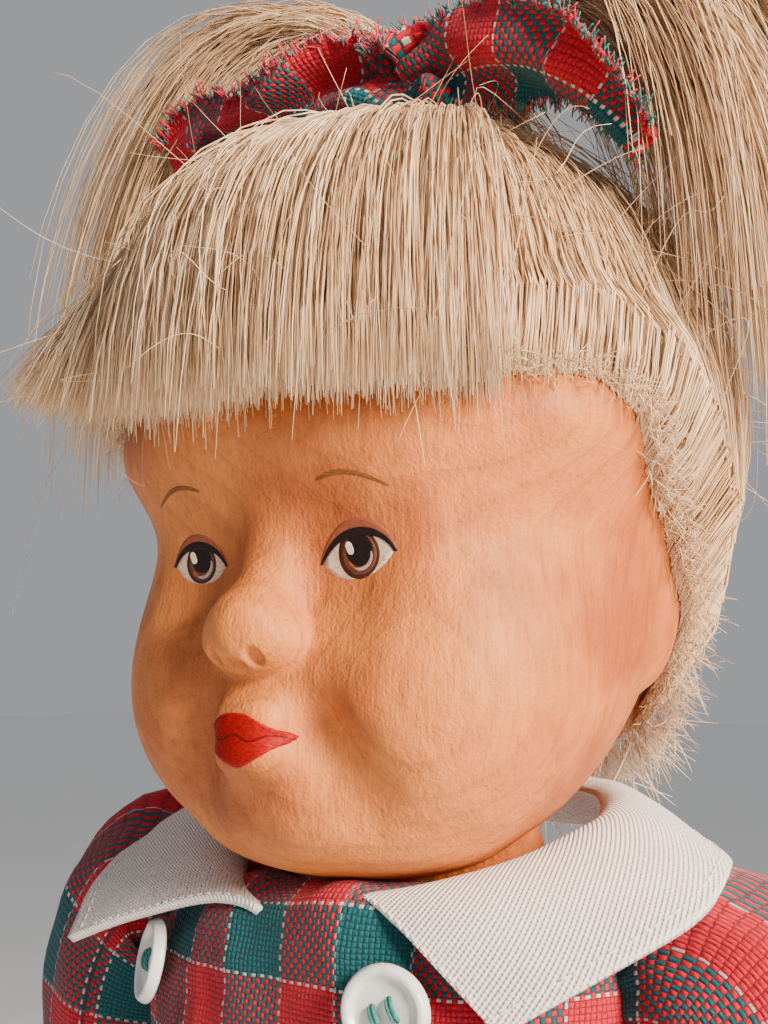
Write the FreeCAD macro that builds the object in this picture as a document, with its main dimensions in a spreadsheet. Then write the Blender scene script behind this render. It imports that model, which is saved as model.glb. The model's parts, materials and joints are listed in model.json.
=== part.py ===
"""A jointed doll carved in wood, in a checked romper with a white collar, standing on its shoes.

Millimetres and degrees. +Z is up, the doll faces -Y and its left side is +X. The origin is on the
floor, in the middle of the box around the doll. The trunk is two glued halves. Every joint is dry wood
on wood, pressed together by a spring or a spring washer, so that a limb stays where it is put:

- the neck ball sits in a cup and hangs on an eyebolt, which turns in the trunk
- the head nods on a pin through the eyebolt
- each arm turns on a bolt, and both legs turn on one rod
- elbows and knees are a tongue in a fork with a pin through both, and each hand turns on a peg
"""

import FreeCAD, Part
import Sketcher
import os
import re

from FreeCAD import Placement, Rotation, Vector

doc = FreeCAD.newDocument("jointed_wooden_doll")

# Driving dimensions

SIZES = (
    ("axis_y", 2, "plane of the neck, shoulder, hip and knee axes"),
    ("crown_z", 396, "top of the carved skull"),
    ("neck_z", 306, "centre of the neck ball"),
    ("shoulder_z", 289, "shoulder axis"),
    ("hip_z", 176, "hip axis"),
    ("knee_z", 98, "knee axis"),
    ("shoulder_x", 40, "middle of the arm at the shoulder"),
    ("hip_x", 20.8, "middle of the leg"),
    ("arm_flare", 12, "angle of the hanging arm away from the trunk"),
    ("elbow_bend", 15, "bend of the elbow at rest"),
    ("upper_arm_len", 49, "shoulder axis to elbow axis"),
    ("forearm_len", 44, "elbow axis to wrist"),
    ("skull_wide", 35, "half width of the skull"),
    ("skull_deep", 38.5, "half depth of the skull"),
    ("skull_tall", 40, "half height of the skull"),
    ("skull_wall", 9, "wall of the hollowed skull"),
    ("neck_r", 13, "neck radius"),
    ("neck_ball_r", 15, "neck ball radius"),
    ("cup_gap", 0.3, "gap between the neck ball and its cup"),
    ("pin_gap", 0.08, "running clearance of every pin in its bore"),
    ("crown_hole_r", 14, "hole in the crown for hollowing the skull"),
    ("eyebolt_r", 1.6, "neck eyebolt shank radius"),
    ("chamber_r", 8, "chamber for the neck spring"),
    ("chamber_top_z", 284, "top of the spring chamber"),
    ("chamber_len", 22, "length of the spring chamber"),
    ("spring_r", 5.6, "radius of the neck's dished washers"),
    ("spring_len", 9, "length of their stack as fitted"),
    ("trunk_side_x", 30.4, "face that the arm turns against"),
    ("joint_gap", 0.35, "gap between two wooden joint faces"),
    ("shoulder_ball_r", 10.5, "shoulder ball radius"),
    ("arm_top_r", 8.6, "upper arm radius at the shoulder"),
    ("elbow_r", 6.8, "elbow knuckle radius"),
    ("elbow_tongue", 4.8, "width of the elbow tongue"),
    ("wrist_r", 5.4, "forearm radius at the wrist"),
    ("bolt_r", 2, "shoulder bolt radius"),
    ("hip_rod_r", 2.5, "hip rod radius"),
    ("pelvis_x", 8.2, "half width of the wooden block between the legs"),
    ("hip_disc_r", 17, "radius of the rounded top of the thigh"),
    ("hip_disc_len", 24.4, "width of the top of the thigh"),
    ("thigh_top_r", 12.1, "thigh radius at the hip"),
    ("knee_r", 10.5, "knee knuckle radius"),
    ("knee_tongue", 7.6, "width of the knee tongue"),
    ("shin_top_r", 9.8, "shin radius below the knee"),
    ("ankle_r", 7.6, "shin radius at the ankle"),
    ("cloth_in", 0.5, "gap between the wood and the cloth"),
    ("cloth_out", 2.3, "height of the cloth's outside above the wood"),
    ("hair_in", 1.1, "inside of the hair above the skull"),
    ("hair_out", 7, "outside of the hair above the skull"),
    ("hairline_y", -12, "where the fringe ends and the side hair begins"),
    ("fringe_z", 361, "lower edge of the fringe"),
    ("knot_rise", 6, "height of the ribbon's knot above the hair"),
    ("tail_r", 8.5, "thickness radius of a hair tail"),
    ("tail_arch_r", 26, "radius of a hair tail's arch"),
    ("foot_y", -9, "middle of the foot"),
    ("foot_wide", 9.5, "half width of the foot"),
    ("foot_long", 25, "half length of the foot"),
    ("foot_tall", 13, "height of the foot above its middle"),
    ("foot_z", 6, "height of the foot's middle"),
    ("sole_t", 3, "thickness of the shoe sole"),
    ("button_r", 5.2, "button radius"),
    ("button_t", 1.8, "button thickness"),
    ("collar_wide", 41, "half width of the collar's edge"),
    ("collar_deep", 30, "half depth of the collar's edge"),
    ("trouser_r", 19.6, "outside radius of a romper leg"),
    ("trouser_len", 32, "length of a romper leg, which stays clear of the trunk when the doll sits"),
    ("trouser_hem_z", 118, "lower edge of a romper leg"),
    ("button_middle", -7, "middle of the two columns of buttons, as the romper sits twisted on the doll"),
    ("button_x", 16.5, "each column of buttons from their middle"),
    ("button_top", 1, "height of the first row of buttons above the shoulder axis"),
    ("button_step", 21, "height from one row of buttons to the next"),
)
SIZE = {alias: value for alias, value, note in SIZES}
ALIAS = re.compile(r"\b(" + "|".join(SIZE) + r")\b")
FAR = 300  # longer than anything that a cutting block has to clear

# Heights, half widths, half depths and middles of the trunk, from the crotch to the neck.
TRUNK_SECTIONS = (
    ("crotch", 163, 20, 15, 2),
    ("seat", 176, 30, 22, 2),
    ("hips", 194, 33, 24.5, 1),
    ("waist", 226, 30, 24.5, 0),
    ("chest", 262, 30, 25, 0),
    ("shoulders", 288, 29.6, 22, 0.5),
    ("slope", 299, 26, 19.5, 1.5),
    ("neck_base", 304.8, 20, 17.4, 2),
)
BUTTON_ROWS = (0, 1, 2)
SPRING_DISHES = 8  # dished washers in the neck's stack, laid face to face and back to back
COLLAR_TILT = Rotation(Vector(1, 0, 0), 14)  # lower at the front than at the back
PIECES = []


def fill_sheet():
    sheet = doc.addObject("Spreadsheet::Sheet", "Sizes")
    for row, (alias, value, note) in enumerate(SIZES, start=1):
        sheet.set(f"A{row}", note)
        sheet.set(f"B{row}", str(value))
        sheet.setAlias(f"B{row}", alias)
    doc.recompute()


# Building helpers


def bind(item, **expressions):
    """Binds properties to cells: each alias in an expression is read from the sheet."""
    for name, text in expressions.items():
        item.setExpression(name.replace("__", "."), ALIAS.sub(r"Sizes.\1", str(text)))
    return item


def put(item, at, turn=None):
    """Places a primitive: at is three expressions, and turn an optional rotation."""
    if turn is not None:
        item.Placement.Rotation = turn
    x, y, z = at
    return bind(item, Placement__Base__x=x, Placement__Base__y=y, Placement__Base__z=z)


TO_X = Rotation(Vector(0, 1, 0), 90)  # a cylinder's axis turned to +X
TO_Y = Rotation(Vector(1, 0, 0), -90)  # and to +Y
ORIGIN = (0, 0, 0)


def ball(name, radius, at=ORIGIN):
    item = doc.addObject("Part::Sphere", name)
    return put(bind(item, Radius=radius), at)


def ellipsoid(name, halves, at=ORIGIN, turn=None):
    item = doc.addObject("Part::Ellipsoid", name)
    wide, deep, tall = halves
    item.Angle1 = -90
    return put(bind(item, Radius1=tall, Radius2=wide, Radius3=deep), at, turn)


def rod(name, radius, length, at=ORIGIN, turn=None):
    item = doc.addObject("Part::Cylinder", name)
    return put(bind(item, Radius=radius, Height=length), at, turn)


def cone(name, low_radius, high_radius, length, at=ORIGIN, turn=None):
    item = doc.addObject("Part::Cone", name)
    return put(bind(item, Radius1=low_radius, Radius2=high_radius, Height=length), at, turn)


def ring(name, radius, wire_radius, at=ORIGIN, turn=None, sweep=360):
    item = doc.addObject("Part::Torus", name)
    item.Angle3 = sweep
    return put(bind(item, Radius1=radius, Radius2=wire_radius), at, turn)


def block(name, low, size):
    """A box from its low corner, with its three sizes."""
    item = doc.addObject("Part::Box", name)
    long, wide, high = size
    return put(bind(item, Length=long, Width=wide, Height=high), low)


def fuse(name, *shapes):
    item = doc.addObject("Part::MultiFuse", name)
    item.Shapes = list(shapes)
    item.Refine = False
    return item


def cut(name, base, *tools):
    item = doc.addObject("Part::Cut", name)
    item.Base = base
    item.Tool = tools[0] if len(tools) == 1 else fuse(name + "_tools", *tools)
    item.Refine = False
    return item


def overlap(name, *shapes):
    item = doc.addObject("Part::MultiCommon", name)
    item.Shapes = list(shapes)
    item.Refine = False
    return item


def group(name, *shapes):
    """Separate solids that share one node."""
    item = doc.addObject("Part::Compound", name)
    item.Links = list(shapes)
    return item


def mirrored(item, name):
    """The same piece for the right side."""
    other = doc.addObject("Part::Mirroring", name)
    other.Source = item
    other.Normal = Vector(1, 0, 0)
    return other


def piece(item, label):
    """Names a finished sub-part, whose file takes this name."""
    item.Label = label
    PIECES.append(item)
    return item


def both_sides(item, label):
    """The left piece as built, and its mirror image on the right."""
    piece(item, "left_" + label)
    piece(mirrored(item, label + "_mirror"), "right_" + label)


def origin_plane(body, role):
    return next(item for item in body.Origin.OriginFeatures if item.Role == role)


def sketch_in(body, name, role="XY_Plane"):
    sketch = body.newObject("Sketcher::SketchObject", name)
    sketch.AttachmentSupport = [(origin_plane(body, role), "")]
    sketch.MapMode = "FlatFace"
    return sketch


def circle_in(sketch, radius, x=0, y=0):
    """A circle whose radius, and place if it has one, are bound to the sheet."""
    number = sketch.addGeometry(Part.Circle(Vector(x, y, 0), Vector(0, 0, 1), 1), False)
    at = sketch.addConstraint(Sketcher.Constraint("Radius", number, SIZE.get(radius, 1)))
    sketch.setExpression(f"Constraints[{at}]", ALIAS.sub(r"Sizes.\1", radius))


def pad(body, sketch, length, name):
    item = body.newObject("PartDesign::Pad", name)
    item.Profile = sketch
    return bind(item, Length=length)


# Trunk


def trunk_loft(name, margin, top_margin):
    """A smooth solid through the trunk's sections, each grown by a margin."""
    sections = []
    for label, height, wide, deep, middle in TRUNK_SECTIONS:
        section = doc.addObject("Part::Ellipse", f"{name}_{label}")
        rise = top_margin if label == "neck_base" else "0"
        put(section, (0, middle, f"{height} + {rise}"))
        sections.append(bind(section, MajorRadius=f"{wide} + {margin}", MinorRadius=f"{deep} + {margin}"))
    item = doc.addObject("Part::Loft", name)
    item.Sections = sections
    item.Solid = True
    return item


def build_trunk():
    """Two glued halves with the neck cup, the spring chamber, four dowels and flat faces for the limbs."""
    side = "trunk_side_x"
    carved = fuse(
        "trunk_blank",
        trunk_loft("trunk_loft", "0", "0"),
        rod("shoulder_boss", "shoulder_ball_r - 0.5", f"2 * {side}",
            (f"-{side}", "axis_y", "shoulder_z"), TO_X),
    )
    leg_space = "hip_z + hip_disc_r + joint_gap"
    beside = [
        block("left_leg_space", ("pelvis_x", -FAR, 0), (FAR, 2 * FAR, leg_space)),
        block("right_leg_space", (f"-pelvis_x - {FAR}", -FAR, 0), (FAR, 2 * FAR, leg_space)),
    ]
    bores = [
        ball("neck_cup", "neck_ball_r + cup_gap", (0, "axis_y", "neck_z")),
        rod("eyebolt_bore", "eyebolt_r + pin_gap", 40, (0, "axis_y", "chamber_top_z - 20")),
        rod("spring_chamber", "chamber_r", "chamber_len", (0, "axis_y", "chamber_top_z - chamber_len")),
        rod("bolt_bore", "bolt_r + pin_gap / 2", "16", ("trunk_side_x - 15", "axis_y", "shoulder_z"), TO_X),
        rod("other_bolt_bore", "bolt_r + pin_gap / 2", 16,
            ("-trunk_side_x - 1", "axis_y", "shoulder_z"), TO_X),
        rod("hip_rod_bore", "hip_rod_r + pin_gap / 2", "4 * pelvis_x",
            ("-2 * pelvis_x", "axis_y", "hip_z"), TO_X),
    ]
    dowels, dowel_bores = [], []
    for number, (x, z) in enumerate(((20, 266), (-20, 266), (20, 208), (-20, 208)), start=1):
        dowels.append(rod(f"trunk_dowel_{number}", 2, 12, (x, "axis_y - 6", z), TO_Y))
        dowel_bores.append(rod(f"dowel_bore_{number}", 2.04, 12.4, (x, "axis_y - 6.2", z), TO_Y))
    trunk = cut("trunk_carved", carved, *beside, *bores, *dowel_bores)
    front_half = block("front_half", (-FAR, f"axis_y - {FAR}", 0), (2 * FAR, FAR, 2 * FAR))
    back_half = block("back_half", (-FAR, "axis_y", 0), (2 * FAR, FAR, 2 * FAR))
    piece(overlap("trunk_front_part", trunk, front_half), "torso_front")
    piece(overlap("trunk_back_part", trunk, back_half), "torso_back")
    piece(group("dowels", *dowels), "torso_dowels")


def build_neck_hardware():
    """The eyebolt that the head hangs on, its stack of dished spring washers, two flat ones and a nut."""
    foot = "chamber_top_z - chamber_len + 4"
    eye = ring("eyebolt_eye", "2.75 + pin_gap", "eyebolt_r - 0.35", (0, "axis_y", "neck_z"), TO_X)
    shank = rod("eyebolt_shank", "eyebolt_r", f"neck_z - 2.6 - ({foot})", (0, "axis_y", foot))
    piece(fuse("eyebolt", eye, shank), "neck_eyebolt")

    washers = []
    for name, height in (("upper", "chamber_top_z - 1.3"), ("lower", "chamber_top_z - 3.7 - spring_len")):
        disc = rod(f"{name}_washer_disc", "spring_r + 0.2", 1.2, (0, "axis_y", height))
        hole = rod(f"{name}_washer_hole", "eyebolt_r + 0.15", 3, (0, "axis_y", f"{height} - 1"))
        washers.append(cut(f"{name}_washer", disc, hole))
    piece(group("washers", *washers), "neck_washers")

    nut_blank = rod("neck_nut_blank", 3.4, 2.6, (0, "axis_y", "chamber_top_z - 6.4 - spring_len"))
    nut_bore = rod("neck_nut_bore", "eyebolt_r + 0.02", 6, (0, "axis_y", "chamber_top_z - 8 - spring_len"))
    piece(cut("neck_nut_part", nut_blank, nut_bore), "neck_nut")

    dishes = []
    pitch = f"spring_len / {SPRING_DISHES}"
    for number in range(SPRING_DISHES):
        facing_up = number % 2 == 0
        low, high = ("spring_r", "eyebolt_r + 0.4") if facing_up else ("eyebolt_r + 0.4", "spring_r")
        foot_of_dish = f"chamber_top_z - 2.5 - spring_len + {number} * {pitch}"
        under = "- 0.5" if facing_up else "+ 0.5"
        outside = cone(f"dish_{number}_outside", low, high, f"{pitch} - 0.02", (0, "axis_y", foot_of_dish))
        inside_at = (0, "axis_y", f"{foot_of_dish} {under}")
        inside = cone(f"dish_{number}_inside", low, high, f"{pitch} - 0.02", inside_at)
        bore = rod(f"dish_{number}_bore", "eyebolt_r + 0.15", 3, (0, "axis_y", f"{foot_of_dish} - 1"))
        dishes.append(cut(f"dish_{number}", outside, inside, bore))
    piece(group("spring_stack", *dishes), "neck_spring")


def spring_washer(name, bore, outside, x, z):
    """A dished washer on an axis along +X, whose rim presses on the wood."""
    dish = cone(f"{name}_dish", outside, f"{bore} + 1.2", 1.5, (x, "axis_y", z), TO_X)
    hollow_at = (f"{x} - 0.7", "axis_y", z)
    hollow = cone(f"{name}_hollow", f"{outside} - 0.8", f"{bore} + 0.2", 1.5, hollow_at, TO_X)
    hole = rod(f"{name}_hole", f"{bore} + 0.1", 4, (f"{x} - 1", "axis_y", z), TO_X)
    return cut(name, dish, hollow, hole)


def acorn_nut(name, bore, radius, x, z):
    """A domed nut on an axis along +X, blind on its outer side."""
    base = rod(f"{name}_base", radius, 1.6, (x, "axis_y", z), TO_X)
    dome = ellipsoid(f"{name}_dome", (2.2, f"{radius} - 0.5", f"{radius} - 0.5"), (f"{x} + 1.2", "axis_y", z))
    hole = rod(f"{name}_hole", f"{bore} + 0.02", 2.2, (f"{x} - 0.2", "axis_y", z), TO_X)
    solid = fuse(f"{name}_solid", base, dome)
    behind = block(f"{name}_behind", (f"{x} - 10", -FAR, 0), (10, 2 * FAR, 2 * FAR))
    return cut(name, solid, hole, behind)


def build_limb_hardware():
    """Two shoulder bolts and one hip rod, with spring washers and domed nuts in the limbs' recesses."""
    shoulder_seat = "shoulder_x + 4.2"
    bolt = rod("left_bolt", "bolt_r", f"{shoulder_seat} + 3.5 - trunk_side_x + 14",
               ("trunk_side_x - 14", "axis_y", "shoulder_z"), TO_X)
    piece(group("bolts", bolt, mirrored(bolt, "right_bolt")), "shoulder_bolts")
    washer = spring_washer("left_shoulder_washer", "bolt_r", "bolt_r + 2.4", shoulder_seat, "shoulder_z")
    washers = group("shoulder_washer_pair", washer, mirrored(washer, "right_shoulder_washer"))
    piece(washers, "shoulder_washers")
    nut = acorn_nut("left_shoulder_nut", "bolt_r", "bolt_r + 1.9", f"{shoulder_seat} + 1.6", "shoulder_z")
    piece(group("shoulder_nut_pair", nut, mirrored(nut, "right_shoulder_nut")), "shoulder_nuts")

    hip_seat = "pelvis_x + joint_gap + hip_disc_len - 6"
    half = f"{hip_seat} + 3.5"
    piece(rod("hip_axle", "hip_rod_r", f"2 * ({half})", (f"-({half})", "axis_y", "hip_z"), TO_X), "hip_rod")
    washer = spring_washer("left_hip_washer", "hip_rod_r", "hip_rod_r + 2.9", hip_seat, "hip_z")
    piece(group("hip_washer_pair", washer, mirrored(washer, "right_hip_washer")), "hip_washers")
    nut = acorn_nut("left_hip_nut", "hip_rod_r", "hip_rod_r + 2.2", f"{hip_seat} + 1.6", "hip_z")
    piece(group("hip_nut_pair", nut, mirrored(nut, "right_hip_nut")), "hip_nuts")


# Head and hair


def skull(name, margin):
    """The skull's ellipsoid, grown by a margin."""
    halves = (f"skull_wide + {margin}", f"skull_deep + {margin}", f"skull_tall + {margin}")
    return ellipsoid(name, halves, (0, 0, "crown_z - skull_tall"))


def pair(make, name, halves, at):
    """A left ellipsoid and its mirror image."""
    left = make(f"left_{name}", halves, at)
    return [left, mirrored(left, f"right_{name}")]


def build_head():
    """A full-cheeked head with its neck and ball in one piece, hollowed from the crown."""
    features = [
        skull("skull_outside", "0"),
        ellipsoid("jaw", (29.5, 26.5, 24), (0, -8, 332)),
        *pair(ellipsoid, "cheek", (16, 15, 17), (13.5, -18.5, 330)),
        ellipsoid("chin", (12, 10, 9), (0, -25, 317.5)),
        ellipsoid("nose", (5, 5.2, 4.6), (0, -37, 339)),
        ellipsoid("nose_bridge", (3.4, 3.6, 9), (0, -35.6, 345)),
        ellipsoid("lips", (6, 2.6, 3.2), (0, -33.2, 325)),
        *pair(ellipsoid, "ear", (3.4, 8, 12), (33.6, 5, 343)),
        rod("neck", "neck_r", "335 - neck_z", (0, "axis_y", "neck_z")),
        ball("neck_ball", "neck_ball_r", (0, "axis_y", "neck_z")),
    ]
    hollow = [
        skull("skull_hollow", "-skull_wall"),
        rod("crown_hole", "crown_hole_r", 40, (0, 0, "crown_z - 12")),
        rod("eye_pocket", 5.2, 5.6, (-2.8, "axis_y", "neck_z"), TO_X),
        block("eyebolt_slot", (-2.4, "axis_y - 8.5", "neck_z - 20"), (4.8, 17, 20)),
        rod("cross_pin_bore", "1.5 + pin_gap / 2", 60, (-30, "axis_y", "neck_z"), TO_X),
    ]
    piece(cut("head_carved", fuse("head_blank", *features), *hollow), "head")
    plug_disc = rod("plug_disc", "crown_hole_r - 0.06", 40, (0, 0, "crown_z - 12"))
    piece(overlap("plug_shape", skull("plug_skull", "0"), plug_disc), "crown_plug")
    piece(rod("cross_pin", 1.5, 28, (-14, "axis_y", "neck_z"), TO_X), "neck_cross_pin")


def hair_shell(name, inside, outside, *regions):
    """What lies between two grown skulls, inside the regions given as blocks."""
    shell = cut(f"{name}_shell", skull(f"{name}_outside", outside), skull(f"{name}_inside", inside))
    region = regions[0] if len(regions) == 1 else fuse(f"{name}_region", *regions)
    return overlap(name, shell, region)


def build_hair():
    """A sewn cap, hair swept up from the sides and nape, a fringe, and a tied topknot with two tails."""
    wide = 2 * FAR
    piece(
        hair_shell(
            "cap", "0.2", "0.9",
            block("cap_nape", (-FAR, 15, 324), (wide, FAR, FAR)),
            block("cap_side", (-FAR, "hairline_y", 360), (wide, FAR, FAR)),
            block("cap_top", (-FAR, -FAR, 374), (wide, wide, FAR)),
        ),
        "wig_cap",
    )
    piece(
        hair_shell(
            "swept_hair", "hair_in", "hair_out",
            block("nape_hair", (-FAR, 14, 322), (wide, FAR, FAR)),
            block("side_hair", (-FAR, "hairline_y", 358), (wide, FAR, FAR)),
        ),
        "hair_sides",
    )
    fringe_space = block("fringe_space", (-FAR, f"hairline_y - 0.1 - {FAR}", "fringe_z"), (wide, FAR, FAR))
    piece(hair_shell("fringe_hair", "hair_in", "hair_out", fringe_space), "hair_fringe")

    knot_z = "crown_z + hair_out + knot_rise"
    arch = ring("tail_arch", "tail_arch_r", "tail_r", (0, 0, 0), Rotation(Vector(1, 0, 0), 90), 180)
    put(arch, ("tail_arch_r + 0.6", 12, f"{knot_z} - 8"))
    drop = ellipsoid("tail_drop", ("tail_r", "tail_r", 36), ("2 * tail_arch_r + 0.6", 12, f"{knot_z} - 8"))
    below_arch = block("tail_drop_space", (0, -FAR, 0), (FAR, wide, f"{knot_z} - 8"))
    lower = overlap("tail_lower", drop, below_arch)
    clear = [
        skull("tail_clear_skull", "hair_out + 0.4"),
        block("tail_clear_middle", (-FAR, -FAR, 0), (f"{FAR} + 0.4", wide, wide)),
        rod("tail_clear_knot", 10.5, 17, (0, 8, f"{knot_z} - 14")),
    ]
    tail = cut("tail", fuse("tail_blank", arch, lower), *clear)
    piece(tail, "hair_tail_left")
    piece(mirrored(tail, "tail_mirror"), "hair_tail_right")

    band = rod("ribbon_band", 10, 13, (0, 8, f"{knot_z} - 11"))
    bow = block("ribbon_bow", (-34, -10, f"{knot_z} - 3"), (68, 14, 3.2))
    ribbon = cut("ribbon", fuse("ribbon_blank", band, bow), skull("ribbon_clear", "hair_out + 0.2"))
    piece(ribbon, "hair_ribbon")


# Arms


def arm_placements():
    """Where the left arm's shoulder, elbow and wrist frames lie. Each limb hangs along its own -Z."""
    shoulder = Placement(
        Vector(SIZE["shoulder_x"], SIZE["axis_y"], SIZE["shoulder_z"]),
        Rotation(Vector(0, 1, 0), -SIZE["arm_flare"]),
    )
    bend = Rotation(Vector(1, 0, 0), -SIZE["elbow_bend"])
    elbow = shoulder.multiply(Placement(Vector(0, 0, -SIZE["upper_arm_len"]), bend))
    wrist = elbow.multiply(Placement(Vector(0, 0, -SIZE["forearm_len"]), Rotation()))
    return shoulder, elbow, wrist


def build_arm():
    """Upper arm, forearm and hand of the left side, with the elbow pin, the wrist peg and the sleeve."""
    shoulder, elbow, wrist = arm_placements()
    long = "upper_arm_len"
    inner_face = "trunk_side_x + joint_gap"
    inward = block("arm_inner_space", (f"{inner_face} - {FAR}", -FAR, 0), (FAR, 2 * FAR, 2 * FAR))

    shaft = fuse(
        "upper_arm_shaft",
        cone("upper_arm_cone", "elbow_r + 0.1", "arm_top_r", f"{long} - 1", (0, 0, f"-{long}")),
        rod("elbow_knuckle", "elbow_r", "2 * elbow_r - 0.6", (f"0.3 - elbow_r", 0, f"-{long}"), TO_X),
    )
    slot = block("elbow_slot", ("-elbow_tongue / 2 - 0.15", -20, f"-{long} - 20"),
                 ("elbow_tongue + 0.3", 40, "20 + elbow_r + 1.6"))
    pin_bore = rod("elbow_pin_bore", "1.2 + pin_gap / 2", 30, (-15, 0, f"-{long}"), TO_X)
    fork = cut("elbow_fork", shaft, slot, pin_bore)
    fork.Placement = shoulder
    centre = ("shoulder_x", "axis_y", "shoulder_z")
    upper = fuse("upper_arm_blank", fork, ball("shoulder_ball", "shoulder_ball_r", centre))
    bolt_at = ("shoulder_x - 20", "axis_y", "shoulder_z")
    bolt_bore = rod("arm_bolt_bore", "bolt_r + pin_gap", 60, bolt_at, TO_X)
    recess = rod("arm_recess", "bolt_r + 2.9", 20, ("shoulder_x + 4", "axis_y", "shoulder_z"), TO_X)
    both_sides(cut("upper_arm_part", upper, inward, bolt_bore, recess), "upper_arm")

    pin = rod("elbow_pin_rod", 1.2, "2 * elbow_r - 1.4", ("0.7 - elbow_r", 0, f"-{long}"), TO_X)
    pin_holder = group("elbow_pin_part", pin)
    pin_holder.Placement = shoulder
    both_sides(pin_holder, "elbow_pin")

    tongue = fuse(
        "elbow_tongue_blank",
        rod("elbow_tongue_round", "elbow_r - 0.3", "elbow_tongue", ("-elbow_tongue / 2", 0, 0), TO_X),
        block("elbow_tongue_neck", ("-elbow_tongue / 2", "-elbow_r + 1.8", "-elbow_r - 3"),
              ("elbow_tongue", "2 * elbow_r - 3.6", "elbow_r + 3")),
        cone("forearm_cone", "wrist_r", "elbow_r - 0.3", "forearm_len - elbow_r - 1.4",
             (0, 0, "-forearm_len")),
    )
    tongue_bore = rod("tongue_bore", "1.2 + pin_gap", 30, (-15, 0, 0), TO_X)
    peg_bore = rod("peg_bore", "2 + pin_gap", 12, (0, 0, "-forearm_len - 1"))
    forearm = cut("forearm_part", tongue, tongue_bore, peg_bore)
    forearm.Placement = elbow
    both_sides(forearm, "forearm")

    palm = fuse(
        "hand_blank",
        ellipsoid("palm", (4, 7.2, 9.5), (0, 0, -9)),
        rod("hand_wrist", "wrist_r - 1", 6, (0, 0, -6.25)),
        ellipsoid("fingers", (3.3, 6.4, 9), (-0.6, -0.6, -18)),
        ellipsoid("thumb", (2.5, 2.5, 7.5), (-0.8, -7.4, -11), Rotation(Vector(1, 0, 0), -28)),
    )
    above = block("hand_above", (-20, -20, -0.25), (40, 40, 20))
    hand_bore = rod("hand_bore", "2 + pin_gap / 2", 8.2, (0, 0, -8))
    hand = cut("hand_part", palm, above, hand_bore)
    hand.Placement = wrist
    both_sides(hand, "hand")

    peg = group("wrist_peg_part", rod("wrist_peg_rod", 2, 17.5, (0, 0, -7.5)))
    peg.Placement = wrist
    both_sides(peg, "wrist_peg")

    outer_tube = rod("sleeve_outer_tube", "arm_top_r + 3.6", 31, (0, 0, -31))
    inner_tube = rod("sleeve_inner_tube", "arm_top_r + 2", 40, (0, 0, -36))
    outer_tube_at = group("sleeve_outer_at", outer_tube)
    inner_tube_at = group("sleeve_inner_at", inner_tube)
    outer_tube_at.Placement = shoulder
    inner_tube_at.Placement = shoulder
    outer = fuse("sleeve_outside", outer_tube_at, ball("sleeve_cap_outer", "shoulder_ball_r + 2.3", centre))
    cap_inside = ball("sleeve_cap_inner", "shoulder_ball_r + 0.8", centre)
    beside_trunk = block("sleeve_inner_space", (f"trunk_side_x + 2.8 - {FAR}", -FAR, 0),
                         (FAR, 2 * FAR, 2 * FAR))
    sleeve = cut("sleeve_part", outer, inner_tube_at, cap_inside, beside_trunk)
    both_sides(sleeve, "sleeve")


# Legs


def foot(name, margin, low):
    """The foot's rounded form, grown by a margin and cut flat at a height."""
    halves = (f"foot_wide + {margin}", f"foot_long + {margin}", f"foot_tall + {margin}")
    form = ellipsoid(f"{name}_form", halves, ("hip_x", "foot_y", "foot_z"))
    return overlap(name, form, block(f"{name}_space", (-FAR, -FAR, low), (2 * FAR, 2 * FAR, FAR)))


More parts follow.
